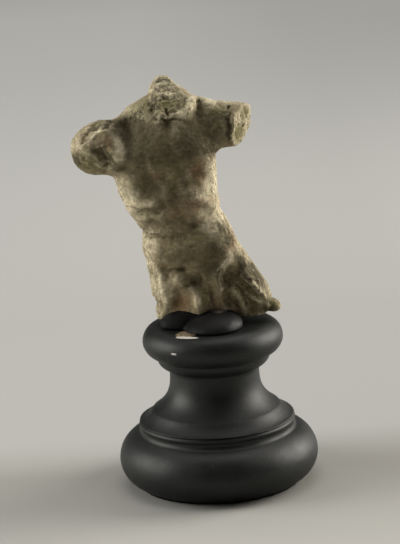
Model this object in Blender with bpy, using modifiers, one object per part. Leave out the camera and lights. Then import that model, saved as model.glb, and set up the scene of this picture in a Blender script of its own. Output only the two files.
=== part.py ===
"""Terracotta torso of a man, broken at the neck, arms and thighs, on a black turned socle.

The socle is a turned profile. The torso and the putty that beds it are modelled as clay:
plain round forms are fused by a voxel remesh, and the skin is then pulled onto a smooth
blend of the same forms, with the muscles, hollows and creases pressed into it.
Metres, +Z up, the figure faces -Y. The origin is the centre of the socle's underside.
"""

import math

import bmesh
import bpy
import numpy as np
from mathutils import Euler, Matrix, Vector

MM = 0.001

# Socle: a fat foot roll, a fillet, a hollow neck, a small collar and a cap roll
SOCLE_HEIGHT = 39.3 * MM
FOOT_RADIUS = 24.2 * MM
FOOT_ROLL = 6.8 * MM
FOOT_HEIGHT = 13.3 * MM
FOOT_WIDEST = 6.5 * MM
FOOT_TUCK = 4.4 * MM
FILLET_HEIGHT = 1.7 * MM
FILLET_STEP = 5.2 * MM
SHOULDER_WIDTH = 3.6 * MM
SHOULDER_RISE = 2.7 * MM
WAIST_RADIUS = 10.9 * MM
COLLAR_RADIUS = 13.8 * MM
COLLAR_HEIGHT = 3.4 * MM
CAP_RADIUS = 17.0 * MM
CAP_ROLL = 3.85 * MM
CAP_HEIGHT = 7.7 * MM
TURNING_STEPS = 42

# Torso and its bed of black putty
TORSO_HEIGHT = 57.5 * MM
FIGURE_X = -0.3 * MM
BED_THICKNESS = 1.2 * MM
FIGURE_LIFT = 2.4 * MM  # from the putty's underside to the figure's zero height
GAP = 0.3 * MM

# The figure is drawn in 57.5ths of its own height, which are millimetres at its real size,
# from the middle of its underside: x to the right, y to the back, z up.
FIGURE_UNIT = TORSO_HEIGHT / 57.5
TORSO_VOXEL = 1.45
BED_VOXEL = 1.4

# Trunk: height, left edge, right edge, front, back
TRUNK = (
    (-3.0, -12.5, 11.8, -5.4, 6.2),
    (1.0, -12.8, 14.9, -6.0, 6.6),
    (5.0, -13.0, 14.5, -6.5, 7.6),
    (9.0, -13.1, 12.0, -6.9, 7.9),
    (13.0, -14.3, 9.4, -7.2, 7.5),
    (17.0, -15.1, 7.4, -7.2, 6.6),
    (21.0, -15.0, 5.8, -7.0, 5.4),
    (25.0, -17.4, 4.0, -7.2, 5.0),
    (29.0, -19.4, 3.4, -7.6, 5.6),
    (33.0, -20.4, 3.5, -7.9, 6.5),
    (37.0, -20.4, 3.4, -8.0, 7.3),
    (41.0, -20.2, 3.2, -7.6, 7.6),
    (45.0, -18.2, 1.4, -6.6, 7.2),
    (49.0, -14.2, -1.0, -4.7, 6.2),
    (52.5, -11.4, -3.4, -1.2, 5.0),
)
TRUNK_SQUARENESS = 2.35

# Round forms: centre, radii, turn about X, Y and Z in degrees, blend, and the point and normal of a break
LIMBS = {
    "right collar": ((-12.8, 1.6, 47.0), (7.2, 4.4, 4.6), (0, -24, 0), 2.0, None),
    "left collar": ((-1.6, 1.4, 48.6), (5.6, 3.6, 3.5), (0, 12, 0), 2.0, None),
    "right shoulder": ((-21.6, 0.4, 41.2), (8.8, 6.3, 6.4), (0, 0, 0), 2.0, ((-25.6, -4.0, 38.6), (-0.12, -0.82, -0.56))),
    "right arm stump": ((-25.2, 0.8, 39.3), (4.9, 5.0, 4.4), (0, 0, 0), 1.0, ((-25.6, -4.0, 38.6), (-0.12, -0.82, -0.56))),
    "left shoulder": ((4.6, 0.6, 45.1), (14.5, 5.0, 5.4), (0, 3, 0), 2.0, ((9.3, -1.0, 45.0), (0.87, -0.46, -0.20))),
    "neck": ((-7.2, 0.3, 48.4), (4.8, 5.8, 7.4), (0, 0, 0), 1.4, ((-7.4, -3.2, 50.0), (0.0, -0.76, 0.65))),
    "nape": ((-8.2, 2.9, 52.2), (3.3, 2.6, 4.4), (0, 0, 0), 0.8, ((-7.8, 1.2, 54.6), (0.1, -0.92, 0.38))),
    "side of the neck": ((-4.3, 2.3, 52.15), (3.4, 2.2, 1.9), (0, 37, 0), 1.0, None),
    "side of the collar": ((-12.1, 2.2, 50.0), (2.9, 2.2, 1.7), (0, -42, 0), 1.2, None),
    "left thigh tip": ((15.3, -0.9, 0.75), (1.8, 2.0, 1.5), (0, 0, 0), 0.6, None),
}

# The front of the left thigh is split away: a long hollow scooped out of it
THIGH_BREAK = ((8.6, -9.2, 3.6), (6.0, 5.9, 11.4), (0, -25, 0))

# Carving on the front: x, height, half width, half height, turn in degrees, rise or depth
FRONT_FORMS = {
    "right pectoral": (-13.0, 40.8, 6.4, 4.6, 8, 1.3),
    "left pectoral": (-1.8, 41.4, 5.6, 4.4, -8, 1.2),
    "right collar hollow": (-16.9, 45.6, 1.9, 3.2, 20, -1.6),
    "left collar hollow": (0.3, 49.2, 0.9, 2.6, -8, -1.2),
    "throat notch": (-7.5, 47.0, 1.2, 1.6, 0, -0.5),
    "breastbone": (-7.1, 40.5, 1.6, 5.0, 4, -0.3),
    "right rib hollow": (-13.0, 33.0, 3.8, 2.8, 20, -1.0),
    "left rib hollow": (-1.2, 35.0, 2.8, 2.2, -20, -0.9),
    "pit of the stomach": (-6.4, 31.2, 1.6, 2.6, 3, -0.6),
    "right half of the belly": (-10.0, 25.0, 3.2, 3.4, 10, 0.5),
    "left half of the belly": (-3.2, 25.4, 3.0, 3.4, -6, 0.5),
    "navel": (-2.5, 22.9, 0.9, 0.9, 0, -0.8),
    "lower belly": (-6.2, 16.4, 5.0, 3.2, 0, 0.9),
    "left flank": (2.4, 17.4, 4.0, 3.8, -20, 1.0),
    "right hip": (-12.6, 16.4, 1.8, 3.4, 0, 0.4),
    "groin": (-6.1, 12.3, 1.8, 0.9, 0, -0.9),
    "broken sex": (-6.7, 9.7, 1.9, 1.6, 0, 0.8),
    "crotch": (-2.8, 9.3, 2.2, 1.6, -20, -1.0),
    "right thigh, outer edge": (-11.2, 8.6, 1.2, 5.0, 0, 0.7),
    "right thigh, hollow": (-7.3, 4.0, 2.1, 3.4, 0, -0.7),
    "right thigh, inner edge": (-3.0, 4.6, 1.2, 3.2, 4, 0.8),
    "gap between the thighs": (0.7, 4.4, 0.9, 3.6, 4, -0.8),
    "left thigh break, pit": (5.2, 9.2, 1.3, 2.2, -10, -0.9),
    "left thigh break, upper left": (7.2, 10.9, 1.0, 1.7, 15, -0.7),
    "left thigh break, upper right": (10.3, 10.6, 1.0, 1.2, 35, -0.5),
    "left thigh break, recess at the foot": (5.6, -0.6, 2.0, 1.4, -25, -1.8),
    "right armpit": (-16.8, 43.5, 1.3, 2.2, 8, -0.8),
    "right collar hollow, upper end": (-17.4, 46.6, 2.2, 1.3, 15, -1.0),
    "right arm break, hollow": (-23.3, 39.9, 1.4, 1.3, -40, -0.7),
    "right rib ledge": (-13.5, 28.6, 2.1, 0.8, -6, 0.5),
    "scar on the belly": (-12.3, 24.1, 1.4, 0.9, -10, -0.5),
    "left side of the belly": (1.2, 15.3, 1.9, 2.0, 0, -0.4),
    "left hip crest": (3.3, 22.7, 1.9, 1.2, 20, 0.4),
}

# Creases and ridges on the front: start, end, half width, rise or depth
FRONT_LINES = {
    "right breast fold": ((-17.4, 37.4), (-9.0, 35.2), 1.3, -0.6),
    "left breast fold": ((-5.6, 37.0), (2.4, 38.6), 1.3, -0.5),
    "right rib arch, upper": ((-8.6, 31.7), (-11.5, 28.4), 1.1, 0.35),
    "right rib arch, lower": ((-11.5, 28.4), (-16.6, 26.6), 1.0, 0.5),
    "left rib arch, upper": ((-5.5, 31.4), (-1.9, 29.4), 1.1, 0.35),
    "left rib arch, lower": ((-1.9, 29.4), (2.4, 26.6), 1.0, 0.5),
    "midline of the belly": ((-6.6, 29.4), (-4.0, 22.8), 1.3, -0.25),
    "waist crease, right": ((-14.0, 20.8), (-7.9, 20.2), 1.0, -0.5),
    "waist crease, left": ((-6.2, 20.2), (2.6, 21.8), 1.1, -0.4),
    "right groin line": ((-13.8, 13.8), (-8.6, 12.4), 1.1, -0.5),
    "left groin line": ((6.9, 15.0), (2.0, 10.8), 0.9, 0.7),
    "left thigh break, inner rim": ((2.0, 10.8), (3.2, 6.8), 0.9, 0.7),
    "left thigh break, first rib": ((8.7, 9.0), (13.5, 3.2), 0.8, 0.9),
    "left thigh break, second rib": ((9.7, 5.2), (13.8, 1.2), 0.8, 0.7),
    "left thigh break, third rib": ((6.1, 6.3), (8.2, 1.0), 0.8, 0.8),
    "neck cord": ((-1.2, 52.6), (-2.8, 48.6), 1.0, 1.0),
    "right shoulder, front edge": ((-22.2, 45.6), (-19.6, 40.4), 1.5, 0.9),
    "right shoulder, foot of the edge": ((-19.6, 40.4), (-20.4, 37.4), 1.1, 0.7),
    "right shoulder, hollow": ((-23.8, 41.4), (-22.2, 38.2), 1.3, -1.0),
    "shoulder crack, outer": ((-27.6, 43.3), (-24.6, 46.4), 0.9, -0.35),
    "shoulder crack, inner": ((-24.6, 46.4), (-20.4, 47.2), 0.9, -0.35),
}

# Carving on the back, which the front only hints at
BACK_FORMS = {
    "right shoulder blade": (-14.2, 42.0, 4.0, 4.8, 14, 0.9),
    "left shoulder blade": (-1.4, 42.4, 3.8, 4.8, -14, 0.9),
    "right buttock": (-8.0, 8.6, 5.4, 5.2, 0, 1.5),
    "left buttock": (4.6, 8.8, 5.2, 5.2, 0, 1.3),
    "right loin": (-10.0, 21.5, 3.2, 4.2, 0, 0.5),
    "left loin": (-1.0, 21.5, 3.0, 4.2, 0, 0.5),
}
BACK_LINES = {
    "upper spine": ((-7.6, 48.0), (-7.4, 32.0), 1.5, -1.0),
    "lower spine": ((-7.4, 32.0), (-2.6, 15.0), 1.4, -1.2),
    "cleft": ((-2.4, 13.6), (-0.8, 3.0), 1.2, -2.0),
    "right buttock fold": ((-12.6, 3.0), (-3.6, 2.2), 1.0, -0.8),
    "left buttock fold": ((1.2, 2.2), (11.4, 3.2), 1.0, -0.8),
}

# The putty, in figure units: a low pad, a wall against the right thigh and a smooth lump in front
# The bed is modelled down to BED_FOOT and then trimmed flat at zero.
PAD = ((-2.3, 0.8), (9.8, 6.2))
LUMP = ((0.3, -6.2, -0.5), (7.4, 7.0, 4.1), (0, -12, 0))
WALL = ((-5.5, -3.9, 0.0), (6.5, 3.2, 3.9))
BED_FOOT = -1.8
PAD_SQUARENESS = 2.8


def smooth_min(a, b, width):
    """The smaller of two distances, rounded over the given width where they are alike."""
    share = np.clip(0.5 + 0.5 * (b - a) / width, 0.0, 1.0)
    return b + (a - b) * share - width * share * (1.0 - share)


def smooth_max(a, b, width):
    return -smooth_min(-a, -b, width)


def rotation(turns):
    return np.array(Euler([math.radians(t) for t in turns]).to_matrix())


def ellipsoid(points, centre, radii, turns=(0, 0, 0)):
    """Roughly the distance from each point to an ellipsoid, negative inside."""
    local = (points - np.array(centre)) @ rotation(turns)
    near = np.linalg.norm(local / radii, axis=1)
    steep = np.linalg.norm(local / np.square(radii), axis=1)
    return near * (near - 1.0) / np.maximum(steep, 1e-6)


def half_space(points, point, normal):
    """Distance beyond a plane, on the side that its normal points to."""
    direction = np.array(normal) / np.linalg.norm(normal)
    return (points - np.array(point)) @ direction


def between_stations(height, stations, column):
    """A column of the trunk's table at any height, on a smooth curve through its stations."""
    levels = np.array([row[0] for row in stations])
    values = np.array([row[column] for row in stations])
    slopes = np.gradient(values, levels)
    z = np.clip(height, levels[0], levels[-1])
    i = np.clip(np.searchsorted(levels, z) - 1, 0, len(levels) - 2)
    span = levels[i + 1] - levels[i]
    t = (z - levels[i]) / span
    start = (1 + 2 * t) * (1 - t) ** 2 * values[i] + t * (1 - t) ** 2 * span * slopes[i]
    end = t * t * (3 - 2 * t) * values[i + 1] + t * t * (t - 1) * span * slopes[i + 1]
    return start + end


def trunk(points):
    left, right, front, back = (between_stations(points[:, 2], TRUNK, k) for k in (1, 2, 3, 4))
    half_width, half_depth = (right - left) / 2, (back - front) / 2
    across = np.abs(points[:, 0] - (left + right) / 2) / half_width
    along = np.abs(points[:, 1] - (front + back) / 2) / half_depth
    reach = (across**TRUNK_SQUARENESS + along**TRUNK_SQUARENESS) ** (1 / TRUNK_SQUARENESS)
    around = (reach - 1.0) * np.minimum(half_width, half_depth)
    above = points[:, 2] - TRUNK[-1][0]
    below = TRUNK[0][0] - points[:, 2]
    return smooth_max(smooth_max(around, above, 1.5), below, 0.5)


def pressed(points, forms, lines):
    """Height of the carving at each point, seen from the front or the back."""
    x, z = points[:, 0], points[:, 2]
    height = np.zeros(len(points))
    for centre_x, centre_z, half_width, half_height, turn, rise in forms.values():
        c, s = math.cos(math.radians(turn)), math.sin(math.radians(turn))
        across = ((x - centre_x) * c + (z - centre_z) * s) / half_width
        up = ((z - centre_z) * c - (x - centre_x) * s) / half_height
        height += rise * np.exp(-(across**2) - up**2)
    for (x0, z0), (x1, z1), half_width, rise in lines.values():
        run_x, run_z = x1 - x0, z1 - z0
        t = np.clip(((x - x0) * run_x + (z - z0) * run_z) / (run_x**2 + run_z**2), 0.0, 1.0)
        away = np.hypot(x - x0 - t * run_x, z - z0 - t * run_z) / half_width
        height += rise * np.exp(-(away**2))
    return height


def figure(points):
    """Roughly the distance from each point to the torso's skin, in figure units."""
    skin = trunk(points)
    for centre, radii, turns, blend, broken in LIMBS.values():
        limb = ellipsoid(points, centre, radii, turns)
        if broken:
            limb = smooth_max(limb, half_space(points, *broken), 0.5)
        skin = smooth_min(skin, limb, blend)
    skin = smooth_max(skin, -ellipsoid(points, *THIGH_BREAK), 0.5)
    facing_back = 1.0 / (1.0 + np.exp(-(points[:, 1] + 0.4) * 1.6))
    skin -= pressed(points, FRONT_FORMS, FRONT_LINES) * (1.0 - facing_back)
    skin -= pressed(points, BACK_FORMS, BACK_LINES) * facing_back
    return skin


def bed(points):
    """The putty: a low pad, the wall under the right thigh and the lump in front."""
    (pad_x, pad_y), pad_radii = PAD
    thickness = BED_THICKNESS / FIGURE_UNIT
    across = np.abs(points[:, 0] - pad_x) / pad_radii[0]
    along = np.abs(points[:, 1] - pad_y) / pad_radii[1]
    reach = (across**PAD_SQUARENESS + along**PAD_SQUARENESS) ** (1 / PAD_SQUARENESS)
    pad = smooth_max((reach - 1.0) * pad_radii[1], points[:, 2] - thickness, 0.6)
    mass = smooth_min(smooth_min(pad, ellipsoid(points, *WALL), 0.8), ellipsoid(points, *LUMP), 0.6)
    return smooth_max(mass, BED_FOOT - points[:, 2], 0.6)


def slope_of(points, field, step=0.05):
    slope = np.empty_like(points)
    for axis in range(3):
        nudge = np.zeros(3)
        nudge[axis] = step
        slope[:, axis] = (field(points + nudge) - field(points - nudge)) / (2 * step)
    return slope


def pull_onto(points, field, most=0.6):
    """Moves points down the field's slope towards its zero surface."""
    slope = slope_of(points, field)
    move = slope * (field(points) / np.maximum((slope**2).sum(1), 0.05))[:, None]
    length = np.linalg.norm(move, axis=1, keepdims=True)
    return points - move * np.minimum(1.0, most / np.maximum(length, 1e-9))


def evened(points, edges, field, share):
    """Slides each point along the skin towards the middle of its neighbours."""
    total = np.zeros_like(points)
    np.add.at(total, edges[:, 0], points[edges[:, 1]])
    np.add.at(total, edges[:, 1], points[edges[:, 0]])
    count = np.bincount(edges.ravel(), minlength=len(points))
    drift = total / count[:, None] - points
    slope = slope_of(points, field)
    normal = slope / np.maximum(np.linalg.norm(slope, axis=1, keepdims=True), 1e-9)
    drift -= normal * (drift * normal).sum(1, keepdims=True)
    return points + share * drift


def add_round_form(mesh, centre, radii, turns=(0, 0, 0)):
    place = Matrix.Translation(centre) @ Matrix(rotation(turns)).to_4x4() @ Matrix.Diagonal((*radii, 1.0))
    bmesh.ops.create_uvsphere(mesh, u_segments=24, v_segments=16, radius=1.0, matrix=place)


def modelled(name, mesh, field, voxel, collection):
    """One clay body: the round forms in mesh fused, smoothed and pulled onto the field, in figure units."""
    data = bpy.data.meshes.new(name)
    mesh.to_mesh(data)
    mesh.free()
    rough = bpy.data.objects.new(name, data)
    collection.objects.link(rough)
    remesh = rough.modifiers.new("fuse", "REMESH")
    remesh.mode = "VOXEL"
    remesh.voxel_size = voxel
    bpy.context.view_layer.update()
    graph = bpy.context.evaluated_depsgraph_get()
    fused = bpy.data.meshes.new_from_object(rough.evaluated_get(graph))
    bpy.data.objects.remove(rough)
    skin = bmesh.new()
    skin.from_mesh(fused)
    for _ in range(6):
        bmesh.ops.smooth_vert(skin, verts=skin.verts, factor=0.5, use_axis_x=True, use_axis_y=True, use_axis_z=True)
    points = np.array([v.co for v in skin.verts])
    edges = np.array([[v.index for v in edge.verts] for edge in skin.edges])
    for _ in range(24):
        points = pull_onto(evened(points, edges, field, 0.5), field)
    for vertex, point in zip(skin.verts, pull_onto(points, field)):
        vertex.co = point
    bmesh.ops.recalc_face_normals(skin, faces=skin.faces)
    skin.to_mesh(fused)
    skin.free()
    fused.name = name
    body = bpy.data.objects.new(name, fused)
    collection.objects.link(body)
    return body


def clear_scene():
    for obj in list(bpy.data.objects):
        bpy.data.objects.remove(obj)


def new_collection(name):
    collection = bpy.data.collections.new(name)
    bpy.context.scene.collection.children.link(collection)
    return collection


def material(name, colour, roughness):
    made = bpy.data.materials.new(name)
    made.use_nodes = True
    shader = made.node_tree.nodes["Principled BSDF"]
    shader.inputs["Base Color"].default_value = (*colour, 1.0)
    shader.inputs["Roughness"].default_value = roughness
    shader.inputs["Metallic"].default_value = 0.0
    return made


def finish(obj, look, smooth_angle=50):
    obj.data.materials.clear()
    obj.data.materials.append(look)
    obj.data.shade_smooth()
    obj.data.set_sharp_from_angle(angle=math.radians(smooth_angle))


def arc(centre, radii, start, end, count):
    """Points on an elliptical arc in the plane of radius and height, angles in degrees."""
    angles = np.radians(np.linspace(start, end, count))
    return [(centre[0] + radii[0] * math.cos(a), centre[1] + radii[1] * math.sin(a)) for a in angles]


def socle_profile():
    """Radius and height along the socle's side, from the underside up."""
    foot_centre = FOOT_RADIUS - FOOT_ROLL
    fillet_radius = FOOT_RADIUS - FILLET_STEP
    fillet_top = FOOT_HEIGHT + FILLET_HEIGHT + 0.8 * MM
    shoulder_radius = max(fillet_radius - SHOULDER_WIDTH, WAIST_RADIUS + 1.0 * MM)
    shoulder_top = fillet_top + SHOULDER_RISE
    cap_centre = SOCLE_HEIGHT - CAP_HEIGHT / 2
    collar_top = SOCLE_HEIGHT - CAP_HEIGHT
    collar_foot = collar_top - COLLAR_HEIGHT
    points = [(0.0, 0.0), (FOOT_RADIUS - FOOT_TUCK, 0.0)]
    points += arc((foot_centre, FOOT_WIDEST), (FOOT_ROLL, FOOT_WIDEST), -70, 0, 6)
    points += arc((foot_centre, FOOT_WIDEST), (FOOT_ROLL, FOOT_HEIGHT - FOOT_WIDEST), 0, 76, 6)[1:]
    points += arc((fillet_radius - FILLET_HEIGHT / 2, FOOT_HEIGHT + FILLET_HEIGHT), (FILLET_HEIGHT / 2, 0.8 * MM), -50, 80, 4)
    neck_height = collar_foot - shoulder_top
    for out, up in ((0.64, 0.15), (0.32, 0.52)):
        points.append((shoulder_radius + out * SHOULDER_WIDTH, fillet_top + up * SHOULDER_RISE))
    for step in np.linspace(0.0, 1.0, 7):
        up = step**1.7
        points.append((WAIST_RADIUS + (shoulder_radius - WAIST_RADIUS) * (1 - up) ** 3.3, shoulder_top + up * neck_height))
    collar = arc((WAIST_RADIUS, collar_top), (COLLAR_RADIUS - WAIST_RADIUS, COLLAR_HEIGHT * 0.85), -80, 0, 4)
    points += collar
    points += arc((CAP_RADIUS - CAP_ROLL, cap_centre), (CAP_ROLL, CAP_HEIGHT / 2), -68, 90, 11)
    points += [(0.0, SOCLE_HEIGHT)]
    return points


def make_socle(collection, look):
    """The turned socle: its profile, top to bottom, swept round the axis."""
    profile = socle_profile()[::-1]
    data = bpy.data.meshes.new("socle")
    data.from_pydata([(r, 0.0, z) for r, z in profile], [(i, i + 1) for i in range(len(profile) - 1)], [])
    obj = bpy.data.objects.new("socle", data)
    collection.objects.link(obj)
    turn = obj.modifiers.new("turn", "SCREW")
    turn.steps = turn.render_steps = TURNING_STEPS
    turn.use_merge_vertices = True
    turn.merge_threshold = 0.00001
    turn.use_smooth_shade = True
    finish(obj, look)
    return obj


def to_world(obj, underside):
    """Scales a body from figure units and stands it at the given height."""
    obj.data.transform(Matrix.Translation((FIGURE_X, 0, underside)) @ Matrix.Scale(FIGURE_UNIT, 4))


def cut_flat(obj, helpers, height, up):
    """Cuts a body at a height of its own units, keeping what is above it or what is below."""
    size = 80.0
    mesh = bmesh.new()
    bmesh.ops.create_cube(mesh, size=size)
    data = bpy.data.meshes.new(obj.name + " trim")
    mesh.to_mesh(data)
    mesh.free()
    box = bpy.data.objects.new(obj.name + " trim", data)
    box.location = (0, 0, height - size / 2 if up else height + size / 2)
    box.hide_render = True
    box.display_type = "WIRE"
    helpers.objects.link(box)
    subtract(obj, box)
    return box


def subtract(obj, cutter):
    cut = obj.modifiers.new("cut by " + cutter.name, "BOOLEAN")
    cut.operation = "DIFFERENCE"
    cut.solver = "EXACT"
    cut.object = cutter


def baked(obj):
    """The body with its modifiers applied."""
    bpy.context.view_layer.update()
    graph = bpy.context.evaluated_depsgraph_get()
    data = bpy.data.meshes.new_from_object(obj.evaluated_get(graph))
    obj.modifiers.clear()
    obj.data = data
    return obj


def make_bed(collection, helpers, look):
    """The black putty, flat below, where it sits on the socle."""
    (pad_x, pad_y), pad_radii = PAD
    forms = bmesh.new()
    middle = BED_FOOT / 2
    add_round_form(forms, (pad_x, pad_y, middle), (*pad_radii, BED_THICKNESS / FIGURE_UNIT - middle))
    add_round_form(forms, *LUMP)
    add_round_form(forms, *WALL)
    obj = modelled("putty_bed", forms, bed, BED_VOXEL, collection)
    cut_flat(obj, helpers, 0.0, up=True)
    baked(obj)
    finish(obj, look)
    return obj


def make_torso(collection, helpers, bed_object, look):
    """The broken figure, seated on the bed with a hair of clearance all over."""
    forms = bmesh.new()
    for height, left, right, front, back in TRUNK:
        centre = ((left + right) / 2, (front + back) / 2, height)
        add_round_form(forms, centre, ((right - left) / 2, (back - front) / 2, 5.0))
    for centre, radii, turns, _, _ in LIMBS.values():
        add_round_form(forms, centre, radii, turns)
    obj = modelled("torso", forms, figure, TORSO_VOXEL, collection)
    clearance = GAP / FIGURE_UNIT
    lift = FIGURE_LIFT / FIGURE_UNIT
    cut_flat(obj, helpers, BED_THICKNESS / FIGURE_UNIT + clearance - lift, up=True)
    baked(obj)
    seat = bpy.data.objects.new("seat", bed_object.data.copy())
    for vertex in seat.data.vertices:
        vertex.co += Vector(vertex.normal) * clearance
    seat.data.transform(Matrix.Translation((0, 0, -lift)))
    seat.hide_render = True
    seat.display_type = "WIRE"
    helpers.objects.link(seat)
    subtract(obj, seat)
    baked(obj)
    finish(obj, look)
    return obj


def main():
    clear_scene()
    collection = new_collection("torso on its socle")
    helpers = new_collection("cutters")
    clay = material("fired clay", (0.42, 0.36, 0.25), 0.85)
    black = material("black paint", (0.018, 0.019, 0.020), 0.5)
    putty = material("black putty", (0.014, 0.014, 0.015), 0.55)
    make_socle(collection, black)
    bed_object = make_bed(collection, helpers, putty)
    torso = make_torso(collection, helpers, bed_object, clay)
    to_world(bed_object, SOCLE_HEIGHT + GAP)
    to_world(torso, SOCLE_HEIGHT + GAP + FIGURE_LIFT)
    helpers.hide_render = True


if __name__ == "__main__":
    main()
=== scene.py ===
"""Looks for the terracotta torso on its black socle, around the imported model.

The torso and its putty are remeshed finely and pulled onto the same skin of blended forms as
the solids. The torso is then carved further: pits, ridges, cracks and the grain of its breaks.
The socle is turned again with more steps. Its chip and scratch are in its paint alone.
"""

import math

import bpy
import numpy as np
from mathutils import Euler, Matrix, Vector


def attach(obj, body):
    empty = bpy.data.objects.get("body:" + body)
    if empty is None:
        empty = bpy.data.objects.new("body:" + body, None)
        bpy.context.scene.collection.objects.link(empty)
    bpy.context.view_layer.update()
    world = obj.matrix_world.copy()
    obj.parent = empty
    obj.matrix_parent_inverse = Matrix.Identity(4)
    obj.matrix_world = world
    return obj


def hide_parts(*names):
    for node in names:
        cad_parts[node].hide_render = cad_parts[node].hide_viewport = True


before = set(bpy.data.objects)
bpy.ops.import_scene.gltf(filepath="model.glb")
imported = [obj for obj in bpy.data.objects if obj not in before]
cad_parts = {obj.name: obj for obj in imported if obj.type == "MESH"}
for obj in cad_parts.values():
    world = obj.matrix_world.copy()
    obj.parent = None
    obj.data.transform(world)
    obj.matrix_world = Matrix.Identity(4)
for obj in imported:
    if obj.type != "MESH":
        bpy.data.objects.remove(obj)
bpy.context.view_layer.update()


MM = 0.001

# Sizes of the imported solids, in millimetres
SOCLE_HEIGHT = 39.3
FOOT_RADIUS = 24.2
FOOT_ROLL = 6.8
FOOT_HEIGHT = 13.3
FOOT_WIDEST = 6.5
FOOT_TUCK = 4.4
FILLET_HEIGHT = 1.7
FILLET_STEP = 5.2
FILLET_ROUND = 0.8
SHOULDER_WIDTH = 3.6
SHOULDER_RISE = 2.7
WAIST_RADIUS = 10.9
COLLAR_RADIUS = 13.8
COLLAR_HEIGHT = 3.4
CAP_RADIUS = 17.0
CAP_ROLL = 3.85
CAP_HEIGHT = 7.7
FIGURE_X = -0.3
BED_THICKNESS = 1.2
FIGURE_LIFT = 2.4
GAP = 0.3
BED_Z = SOCLE_HEIGHT + GAP
FIGURE_Z = BED_Z + FIGURE_LIFT
UNDERSIDE = BED_THICKNESS + GAP - FIGURE_LIFT

# Keeps the finer socle within the sides of the solid's facets
SOCLE_TRIM = 0.9965

# Mesh sizes
TORSO_VOXEL = 0.27
BED_VOXEL = 0.35
TURNING_STEPS = 180

# The camera that the photograph fits
CAMERA_DISTANCE = 550.0
CAMERA_ELEVATION = 14.1
CAMERA_ROLL = 3.3
CAMERA_TARGET = (-2.1, 0.0, 51.7)
FOCAL_PIXELS = 2307.0
FRAME_HEIGHT = 544.0

# The figure's skin, in millimetres from an origin at the height FIGURE_Z: x right, y back, z up.
# The values are the solid's, but for the nape, which stands 0.4 mm higher here.
# Trunk: height, left edge, right edge, front, back
TRUNK = (
    (-3.0, -12.5, 11.8, -5.4, 6.2),
    (1.0, -12.8, 14.9, -6.0, 6.6),
    (5.0, -13.0, 14.5, -6.5, 7.6),
    (9.0, -13.1, 12.0, -6.9, 7.9),
    (13.0, -14.3, 9.4, -7.2, 7.5),
    (17.0, -15.1, 7.4, -7.2, 6.6),
    (21.0, -15.0, 5.8, -7.0, 5.4),
    (25.0, -17.4, 4.0, -7.2, 5.0),
    (29.0, -19.4, 3.4, -7.6, 5.6),
    (33.0, -20.4, 3.5, -7.9, 6.5),
    (37.0, -20.4, 3.4, -8.0, 7.3),
    (41.0, -20.2, 3.2, -7.6, 7.6),
    (45.0, -18.2, 1.4, -6.6, 7.2),
    (49.0, -14.2, -1.0, -4.7, 6.2),
    (52.5, -11.4, -3.4, -1.2, 5.0),
)
TRUNK_SQUARENESS = 2.35

# Breaks: a point of the plane and its normal
RIGHT_ARM_BREAK = ((-25.6, -4.0, 38.6), (-0.12, -0.82, -0.56))
LEFT_ARM_BREAK = ((9.3, -1.0, 45.0), (0.87, -0.46, -0.20))
NECK_BREAK = ((-7.4, -3.2, 50.0), (0.0, -0.76, 0.65))
NAPE_BREAK = ((-7.8, 1.2, 54.6), (0.1, -0.92, 0.38))

# Round forms: centre, radii, turn about X, Y and Z, blend, and the break that cuts them
LIMBS = {
    "right collar": ((-12.8, 1.6, 47.0), (7.2, 4.4, 4.6), (0, -24, 0), 2.0, None),
    "left collar": ((-1.6, 1.4, 48.6), (5.6, 3.6, 3.5), (0, 12, 0), 2.0, None),
    "right shoulder": ((-21.6, 0.4, 41.2), (8.8, 6.3, 6.4), (0, 0, 0), 2.0, RIGHT_ARM_BREAK),
    "right arm stump": ((-25.2, 0.8, 39.3), (4.9, 5.0, 4.4), (0, 0, 0), 1.0, RIGHT_ARM_BREAK),
    "left shoulder": ((4.6, 0.6, 45.1), (14.5, 5.0, 5.4), (0, 3, 0), 2.0, LEFT_ARM_BREAK),
    "neck": ((-7.2, 0.3, 48.4), (4.8, 5.8, 7.4), (0, 0, 0), 1.4, NECK_BREAK),
    "nape": ((-8.2, 2.9, 52.6), (3.3, 2.6, 4.4), (0, 0, 0), 0.8, NAPE_BREAK),
    "side of the neck": ((-4.3, 2.3, 52.15), (3.4, 2.2, 1.9), (0, 37, 0), 1.0, None),
    "side of the collar": ((-12.1, 2.2, 50.0), (2.9, 2.2, 1.7), (0, -42, 0), 1.2, None),
    "left thigh tip": ((15.3, -0.9, 0.75), (1.8, 2.0, 1.5), (0, 0, 0), 0.6, None),
}
THIGH_BREAK = ((8.6, -9.2, 3.6), (6.0, 5.9, 11.4), (0, -25, 0))

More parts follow.
